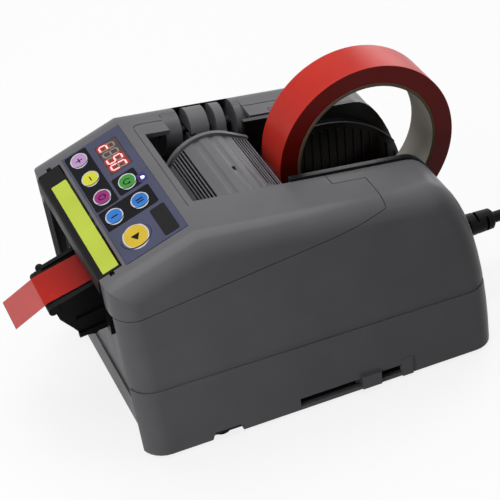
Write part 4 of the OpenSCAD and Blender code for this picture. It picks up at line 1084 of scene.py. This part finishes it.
@dataclass
class KeyPanel:
    """Printed film, keys, number display, lamp and bare plate on the sloping panel.

    Attributes:
        film_top: Height of the film over the panel, in mm.
        sink: How far a print reaches into what carries it, in mm.
        ink: Height of a print on the film, in mm.
        field_ink: Height of the dark fields' print, in mm.
        cap_ink: Height of the print on a cap, in mm.
        sign_share: Size of a sign and width of its lines as shares of a face's half size up the slope.
        sign_ink: Foot and top of a sign over the cap, in mm.
        cap_top: Height of a cap's edge over the panel, in mm.
        dish_depth: Depth of a cap's dish, in mm.
        dish_radius: Radius of that dish, in mm.
        rim: Width of a face's pale rim up the slope and along Y, in mm.
        cap_edge: How far a cap's print stays off the cap's edge, in mm.
        cap_gap: Gap that the film leaves round a cap, in mm.
        face_rings: Rings that a face is built in, as shares of its size, so that it follows the dish.
        display: Middle of the number, up the slope and along Y, in mm.
        digit: Height and width of one digit, in mm.
        digit_pitch: Distance from digit to digit, in mm.
        digit_lean: Lean of the digits, in degrees.
        bar_width: Width of a display bar, in mm.
        bar_short: How much shorter than its side of the digit an upright and a level bar are, in mm.
        bar_round: Corner radius of a bar as a share of its width.
        bar_ink: Height of a bar's print, in mm.
        glow_width: Width of the glow round a lit bar, both sides together, in mm.
        glow_ink: Height of the glow's print, in mm.
        lamp: Middle of the lamp, in mm.
        lamp_hole: Radius that the lamp's patch leaves free, in mm.
        lamp_patch: Size of that patch, in mm.
        plate: Bare plate, from and to up the slope, then from and to along Y, in mm.
        plate_thick: Thickness of the plate over the film, in mm.
        plate_radius: Corner radius of the plate, in mm.
        plate_edge: Width of the plate's eased edge, in mm.
    """

    film_top: float = 0.2
    sink: float = 0.02
    ink: float = 0.05
    field_ink: float = 0.02
    cap_ink: float = 0.03
    sign_share: Point2 = (0.95, 0.16)
    sign_ink: Point2 = (0.01, 0.06)
    cap_top: float = 0.5
    dish_depth: float = 0.25
    dish_radius: float = 60.0
    rim: Point2 = (0.62, 0.9)
    cap_edge: float = 0.05
    cap_gap: float = 0.22
    face_rings: tuple[float, ...] = (0.02, 0.4, 0.75, 1.0)
    display: Point2 = (39.06, 30.7)
    digit: Point2 = (8.2, 4.5)
    digit_pitch: float = 6.5
    digit_lean: float = 8.0
    bar_width: float = 0.95
    bar_short: Point2 = (0.5, 0.7)
    bar_round: float = 0.32
    bar_ink: float = 0.03
    glow_width: float = 2.3
    glow_ink: float = 0.01
    lamp: Point2 = (45.36, 1.1)
    lamp_hole: float = 1.65
    lamp_patch: Point2 = (4.9, 7.6)
    plate: Box2 = (38.8, 47.2, -50.0, -26.2)
    plate_thick: float = 0.3
    plate_radius: float = 1.2
    plate_edge: float = 0.1

    keys: ClassVar[tuple[KeyCap, ...]] = (
        KeyCap("key_plus", 22.96, 43.2, 10.4, Symbol.PLUS, slot="key_pink"),
        KeyCap("key_minus", 22.96, 24.0, 10.4, Symbol.MINUS, slot="key_yellow"),
        KeyCap("key_mode", 22.96, 4.8, 10.4, Symbol.RING, slot="key_magenta"),
        KeyCap("key_memory_front", 22.96, -14.4, 10.4, Symbol.ONE_BAR),
        KeyCap("key_auto", 37.96, 4.8, 10.4, Symbol.LOOP, slot="key_green"),
        KeyCap("key_memory_rear", 37.96, -14.4, 10.4, Symbol.TWO_BARS),
        KeyCap("key_start", 26.56, -37.9, 16.4, Symbol.TRIANGLE, (6.25, 8.7), "key_amber"),
    )
    # Printed fields behind groups of keys: from and to up the slope, then from and to along Y.
    fields: ClassVar[tuple[Box2, ...]] = (
        (16.3, 29.6, -4.6, 51.2),
        (31.0, 44.6, -3.2, 12.8),
        (16.3, 46.0, -23.2, -5.8),
    )
    # Bars of one digit: middle in halves of the digit's height and width, and whether it stands upright.
    segments: ClassVar[dict[str, tuple[float, float, bool]]] = {
        "a": (1.0, 0.0, False),
        "g": (0.0, 0.0, False),
        "d": (-1.0, 0.0, False),
        "b": (0.5, -1.0, True),
        "c": (-0.5, -1.0, True),
        "f": (0.5, 1.0, True),
        "e": (-0.5, 1.0, True),
    }
    # Lit bars of the four digits, as the display flickers through them.
    shown: ClassVar[tuple[str, ...]] = ("deg", "", "acdfg", "acdef")

    def lay(self, print_: Stencil, name: str, finish: Finish, slot: str, height: float) -> bpy.types.Object:
        """Lays a print on the film; it rides on the housing.

        Args:
            print_: Its shapes.
            name: Name of the piece.
            finish: Its finish.
            slot: Material slot that it belongs to.
            height: Its height over the film, in mm.

        Returns:
            The print.
        """
        piece = print_.build(name, self.film_top - self.sink, self.film_top + height)
        mount(piece, finish, "housing", slot)
        return piece

    def dish(self, key: KeyCap) -> Callable[[float, float], float]:
        """Describes a key's dished cap.

        Args:
            key: The key.

        Returns:
            Function that gives the cap's height at a panel point, in mm.
        """

        def height(u: float, y: float) -> float:
            """Returns the height of the dished cap at a panel point, in mm."""
            reach = math.hypot(u - key.up_slope, y - key.y)
            return self.cap_top - self.dish_depth + reach * reach / (2 * self.dish_radius)

        return height

    def print_fields(self) -> None:
        """Prints the dark fields, cell by cell, leaving the keys' holes free."""
        print_ = Stencil()
        for low_u, high_u, low_y, high_y in self.fields:
            held = [key for key in self.keys if low_u < key.up_slope < high_u and low_y < key.y < high_y]
            upright = high_u - low_u > high_y - low_y
            run, sides = ((low_u, high_u), (low_y, high_y))[:: 1 if upright else -1]
            place_of = attrgetter("up_slope" if upright else "y")
            held.sort(key=place_of)
            places = [place_of(key) for key in held]
            joints = [(a + b) / 2 for a, b in zip(places, places[1:])]
            ends = [run[0], *joints, run[1]]
            for key, low, high in zip(held, ends, ends[1:]):
                box = (low, high, *sides) if upright else (*sides, low, high)
                met = [(end, side) for end in (low, high) if end in joints for side in sides]
                sharp = met if upright else [(side, end) for end, side in met]
                print_.holed(box, (key.up_slope, key.y), key.diameter / 2 + self.cap_gap, sharp)
        self.lay(print_, "panel_print_fields", INK_BLACK, "membrane", self.field_ink)

    def print_faces(self) -> None:
        """Prints each key's oval face and pale rim; the tips past the round cap are printed on the film."""
        pale_tips = Stencil()
        for key in self.keys:
            centre, dish, colour = (key.up_slope, key.y), self.dish(key), SLOT_FINISH[key.slot]
            cap, film = key.diameter / 2 - self.cap_edge, key.diameter / 2 + self.cap_gap
            outer = (key.face[0] + self.rim[0], key.face[1] + self.rim[1])
            face, rim, tips = Stencil(), Stencil(), Stencil()
            for shares in zip(self.face_rings, self.face_rings[1:]):
                inner, edge = ((key.face[0] * share, key.face[1] * share) for share in shares)
                face.oval(centre, inner, edge, high=cap)
            rim.oval(centre, key.face, outer, high=cap)
            tips.oval(centre, (0.1, 0.1), key.face, film)
            pale_tips.oval(centre, key.face, outer, film)
            mount(face.build(key.body + "_face", -self.sink, self.cap_ink, dish), colour, key.body, key.slot)
            mount(rim.build(key.body + "_rim", -self.sink, self.cap_ink, dish), INK_WHITE, key.body, "membrane")
            self.lay(tips, key.body + "_tips", colour, key.slot, self.ink)
        self.lay(pale_tips, "panel_print_rims", INK_WHITE, "membrane", self.ink)

    def print_lamp_ring(self) -> None:
        """Prints the dark violet patch round the lamp."""
        print_ = Stencil()
        print_.patch(self.lamp, self.lamp_hole, self.lamp_patch)
        self.lay(print_, "panel_print_lamp_ring", INK_VIOLET, "membrane", self.ink)

    def mount_plate(self) -> None:
        """Mounts the bare black plate beside the keys."""
        print_ = Stencil()
        print_.box(self.plate, self.plate_radius)
        plate = self.lay(print_, "panel_bare_plate", PLATE_BLACK, "black_plastic", self.plate_thick)
        ease_edges(plate, self.plate_edge)

    def sign(self, key: KeyCap) -> Stencil:
        """Draws a key's sign.

        Args:
            key: The key.

        Returns:
            The sign's shapes.
        """
        u, y = key.up_slope, key.y
        size, line = (key.face[0] * share for share in self.sign_share)
        mark = Stencil()
        if key.sign in (Symbol.PLUS, Symbol.MINUS):
            mark.bar((u, y), (line, size))
        if key.sign is Symbol.PLUS:
            arm = (size - line) / 2
            for side in (1, -1):
                mark.bar((u + side * (arm + line) / 2, y), (arm, line))
        if key.sign is Symbol.RING:
            mark.ring((u, y), size * 0.38, size * 0.38 + line)
        if key.sign is Symbol.LOOP:
            mark.ring((u, y), size * 0.42, size * 0.42 + line, 30.0, 280.0)
            tip, ends = (u - size * 0.1, y - size * 0.5), (y - size * 0.75, y - 0.6)
            mark.fill([(u + size * 0.3, ends[0]), tip, (u + size * 0.3, ends[1])])
        if key.sign is Symbol.ONE_BAR:
            mark.bar((u, y), (size, line * 1.4))
        if key.sign is Symbol.TWO_BARS:
            for side in (1, -1):
                mark.bar((u, y + side * line * 1.5), (size, line * 1.4))
        if key.sign is Symbol.TRIANGLE:
            left, right = y + size * 0.3, y - size * 0.5
            mark.fill([(u + size * 0.42, left), (u, right), (u - size * 0.42, left)])
        return mark

    def print_signs(self) -> None:
        """Prints the signs on the dished key caps; each rides on its key."""
        for key in self.keys:
            piece = self.sign(key).build(key.body + "_sign", *self.sign_ink, self.dish(key))
            mount(piece, INK_BLACK, key.body, "black_plastic")

    def number(self) -> None:
        """Sets the display's bars: the lit ones of the number, their glow, and the dark ones of the rest."""
        lit, dark, glow = Stencil(), Stencil(), Stencil()
        half_u, half_y = self.digit[0] / 2, self.digit[1] / 2
        slant = math.tan(math.radians(self.digit_lean))
        for place, bars in enumerate(self.shown):
            middle = self.display[1] + self.digit_pitch * (1.5 - place)
            for name, (pu, py, upright) in self.segments.items():
                spot = (self.display[0] + pu * half_u, middle + py * half_y - pu * half_u * slant)
                length = (half_u if upright else self.digit[1]) - self.bar_short[not upright]
                size = (length, self.bar_width) if upright else (self.bar_width, length)
                lean = -self.digit_lean if upright else 0.0
                (lit if name in bars else dark).bar(spot, size, self.bar_width * self.bar_round, lean)
                if name in bars:
                    wide = (size[0] + self.glow_width, size[1] + self.glow_width)
                    glow.bar(spot, wide, self.glow_width, lean)
        self.lay(glow, "display_glow", BAR_GLOW, "filter_red", self.glow_ink)
        self.lay(dark, "display_bars_dark", BAR_DARK, "filter_red", self.bar_ink)
        self.lay(lit, "display_bars_lit", BAR_LIT, "filter_red", self.bar_ink)

    def build(self) -> None:
        """Builds everything on the panel."""
        self.print_fields()
        self.print_faces()
        self.print_lamp_ring()
        self.mount_plate()
        self.print_signs()
        self.number()


@dataclass
class GuardStrip:
    """Bare yellow strip in the recess of the front guard.

    Attributes:
        area: From and to up the slope, then from and to along Y, in mm.
        floor: Foot of the strip off the panel, in mm.
        top: Top of the strip off the panel, in mm.
        radius: Corner radius, in mm.
        edge: Width of the eased edge, in mm.
    """

    area: Box2 = (3.0, 12.0, -48.7, 36.1)
    floor: float = -0.25
    top: float = 0.0
    radius: float = 0.8
    edge: float = 0.08

    def build(self) -> None:
        """Builds the strip and lets it ride on the guard."""
        shape = Stencil()
        shape.box(self.area, self.radius)
        strip = shape.build("guard_strip", self.floor, self.top)
        ease_edges(strip, self.edge)
        mount(strip, VINYL_YELLOW, "guard", "key_yellow")


@dataclass
class FeedShadeSheet:
    """Thin black sheet under the feed cover's slots: painted shade, which keeps light from showing through them.

    Attributes:
        centre: Place of the vault's axis in the XZ plane, in mm.
        radius: Distance of the sheet's outside from that axis, in mm.
        thick: Thickness of the sheet, in mm.
        span_y: From and to along Y, in mm.
        front: Angles between which the curved front strip lies, in degrees.
        front_steps: Facets of that strip.
        flat_angle: Angle at which the vault goes over into its straight skirt, in degrees.
        flat_span: From and to of the straight rear strip down the skirt, in mm.
    """

    centre: Point2 = (-1.0, 96.5)
    radius: float = 22.1
    thick: float = 0.4
    span_y: Point2 = (-25.6, 24.2)
    front: Point2 = (148.0, 118.0)
    front_steps: int = 16
    flat_angle: float = 62.0
    flat_span: Point2 = (2.4, 12.6)

    def line(self, reach: float) -> tuple[list[Point2], list[Point2]]:
        """Draws the two strips' lines at one distance from the vault's axis, in the side view.

        Args:
            reach: The distance, in mm.

        Returns:
            Points (x, z) of the front strip and of the rear strip, in mm.
        """
        start, end = self.front
        turns = [start + (end - start) * i / self.front_steps for i in range(self.front_steps + 1)]
        skirt = math.radians(self.flat_angle)
        foot = polar(self.centre, reach, skirt)
        rear = [polar(foot, along, skirt - math.pi / 2) for along in self.flat_span]
        return [polar(self.centre, reach, math.radians(turn)) for turn in turns], rear

    def build(self) -> None:
        """Builds the sheet and lets it ride on the feed cover."""
        form = bmesh.new()
        for outer, inner in zip(self.line(self.radius), self.line(self.radius - self.thick)):
            outline = outer + inner[::-1]
            near, far = ([Vector((x, y, z)) * MM for x, z in outline] for y in self.span_y)
            add_prism(form, near, far)
        # The black sheet paints shade behind the slots.
        mount(make_piece("feed_shade_sheet", form), ABS_BLACK, "feed_cover", "black_plastic")


@dataclass
class WellHighlightBeads:
    """Fine pale bead along the inner rim of the two ribbed plates of the roll's well: a painted highlight on the
    rims' edges.

    Attributes:
        centre: Middle of the rim's arc in the XZ plane, in mm.
        rim: Radius of that arc, in mm.
        span_x: Where the bead begins and ends along X, in mm.
        inner_y: Distance of either bead from the middle plane, in mm.
        thick: Diameter of the bead, in mm.
        steps: Facets along the bead.
    """

    centre: Point2 = (61.2, 49.5)
    rim: float = 57.8
    span_x: Point2 = (23.0, 108.38)
    inner_y: float = 25.5
    thick: float = 0.8
    steps: int = 44

    def build(self) -> None:
        """Builds both beads; they ride on the housing."""
        start, end = (math.acos((x - self.centre[0]) / self.rim) for x in self.span_x)
        turns = [start + (end - start) * i / self.steps for i in range(self.steps + 1)]
        arc = [polar(self.centre, self.rim, turn) for turn in turns]
        # Each bead paints a highlight line along a rim.
        for name, y in (("near_well_highlight_bead", -self.inner_y), ("far_well_highlight_bead", self.inner_y)):
            bead = make_rod(name, [Vector((x, y, z)) * MM for x, z in arc], self.thick, 2)
            mount(bead, ABS_HIGHLIGHT_LINE, "housing", "black_plastic")


@dataclass
class Mouldings:
    """Every solid carried over from the CAD, with its finish and eased edges.

    Attributes:
        plain_edge: Width of the eased edge of most solids, in mm.
    """

    plain_edge: float = 0.25

    # Solids whose eased edge has another width, in mm; 0 leaves thin or toothed forms sharp.
    edges: ClassVar[dict[float, tuple[str, ...]]] = {
        0.0: ("hinge_spring", "tape_tail", "tape_web"),
        0.05: ("overlay", "display_window", "fixed_blade", "moving_blade", "motor_pinion"),
        0.08: ("drive_gear",),
        0.12: ("feed_cover",),
        0.2: ("indicator_led",),
        0.3: ("outlet_tray",),
        0.35: ("near_side_plate", "far_side_plate"),
        0.4: ("front_guard", "strain_relief"),
        0.5: ("top_cover", "lower_body", "side_slider"),
        0.6: ("plug",),
    }
    # Solids whose finish isn't the usual one of their material slot; a small key is dark round its oval face.
    own_finish: ClassVar[dict[str, Finish]] = {
        "tape_tail": TAPE_FILM,
        "tape_web": TAPE_FILM,
        "feed_cover": ABS_SLOT_SHADED,
        "near_side_plate": ABS_LINER,
        "far_side_plate": ABS_LINER,
        **{key.body: INK_BLACK for key in KeyPanel.keys},
        "key_start": FILM_SLATE,
        "hinge_pin": STEEL_BLACK,
        "hinge_spring": STEEL_BLACK,
    }
    replaced: ClassVar[tuple[str, ...]] = ("cord", "cord_coil")

    def build(self) -> None:
        """Dresses each carried-over solid."""
        slots = {part["node"]: part["material_slot"] for part in frame["record"]["subparts"]}
        widths = {node: width for width, nodes in self.edges.items() for node in nodes}
        for node, piece in frame["nodes"].items():
            if node not in self.replaced:
                dress(piece, self.own_finish.get(node, SLOT_FINISH[slots[node]]))
                ease_edges(piece, widths.get(node, self.plain_edge))
                LOG.info("%s: %s", node, piece.data.materials[0].name)


def main() -> None:
    """Builds the scene, piece by piece."""
    logging.basicConfig(level=logging.INFO, format="%(name)s: %(message)s")
    for assembly in (Studio, MainsLead, Mouldings, KeyPanel, GuardStrip, FeedShadeSheet, WellHighlightBeads):
        assembly().build()


if __name__ == "__main__":
    main()
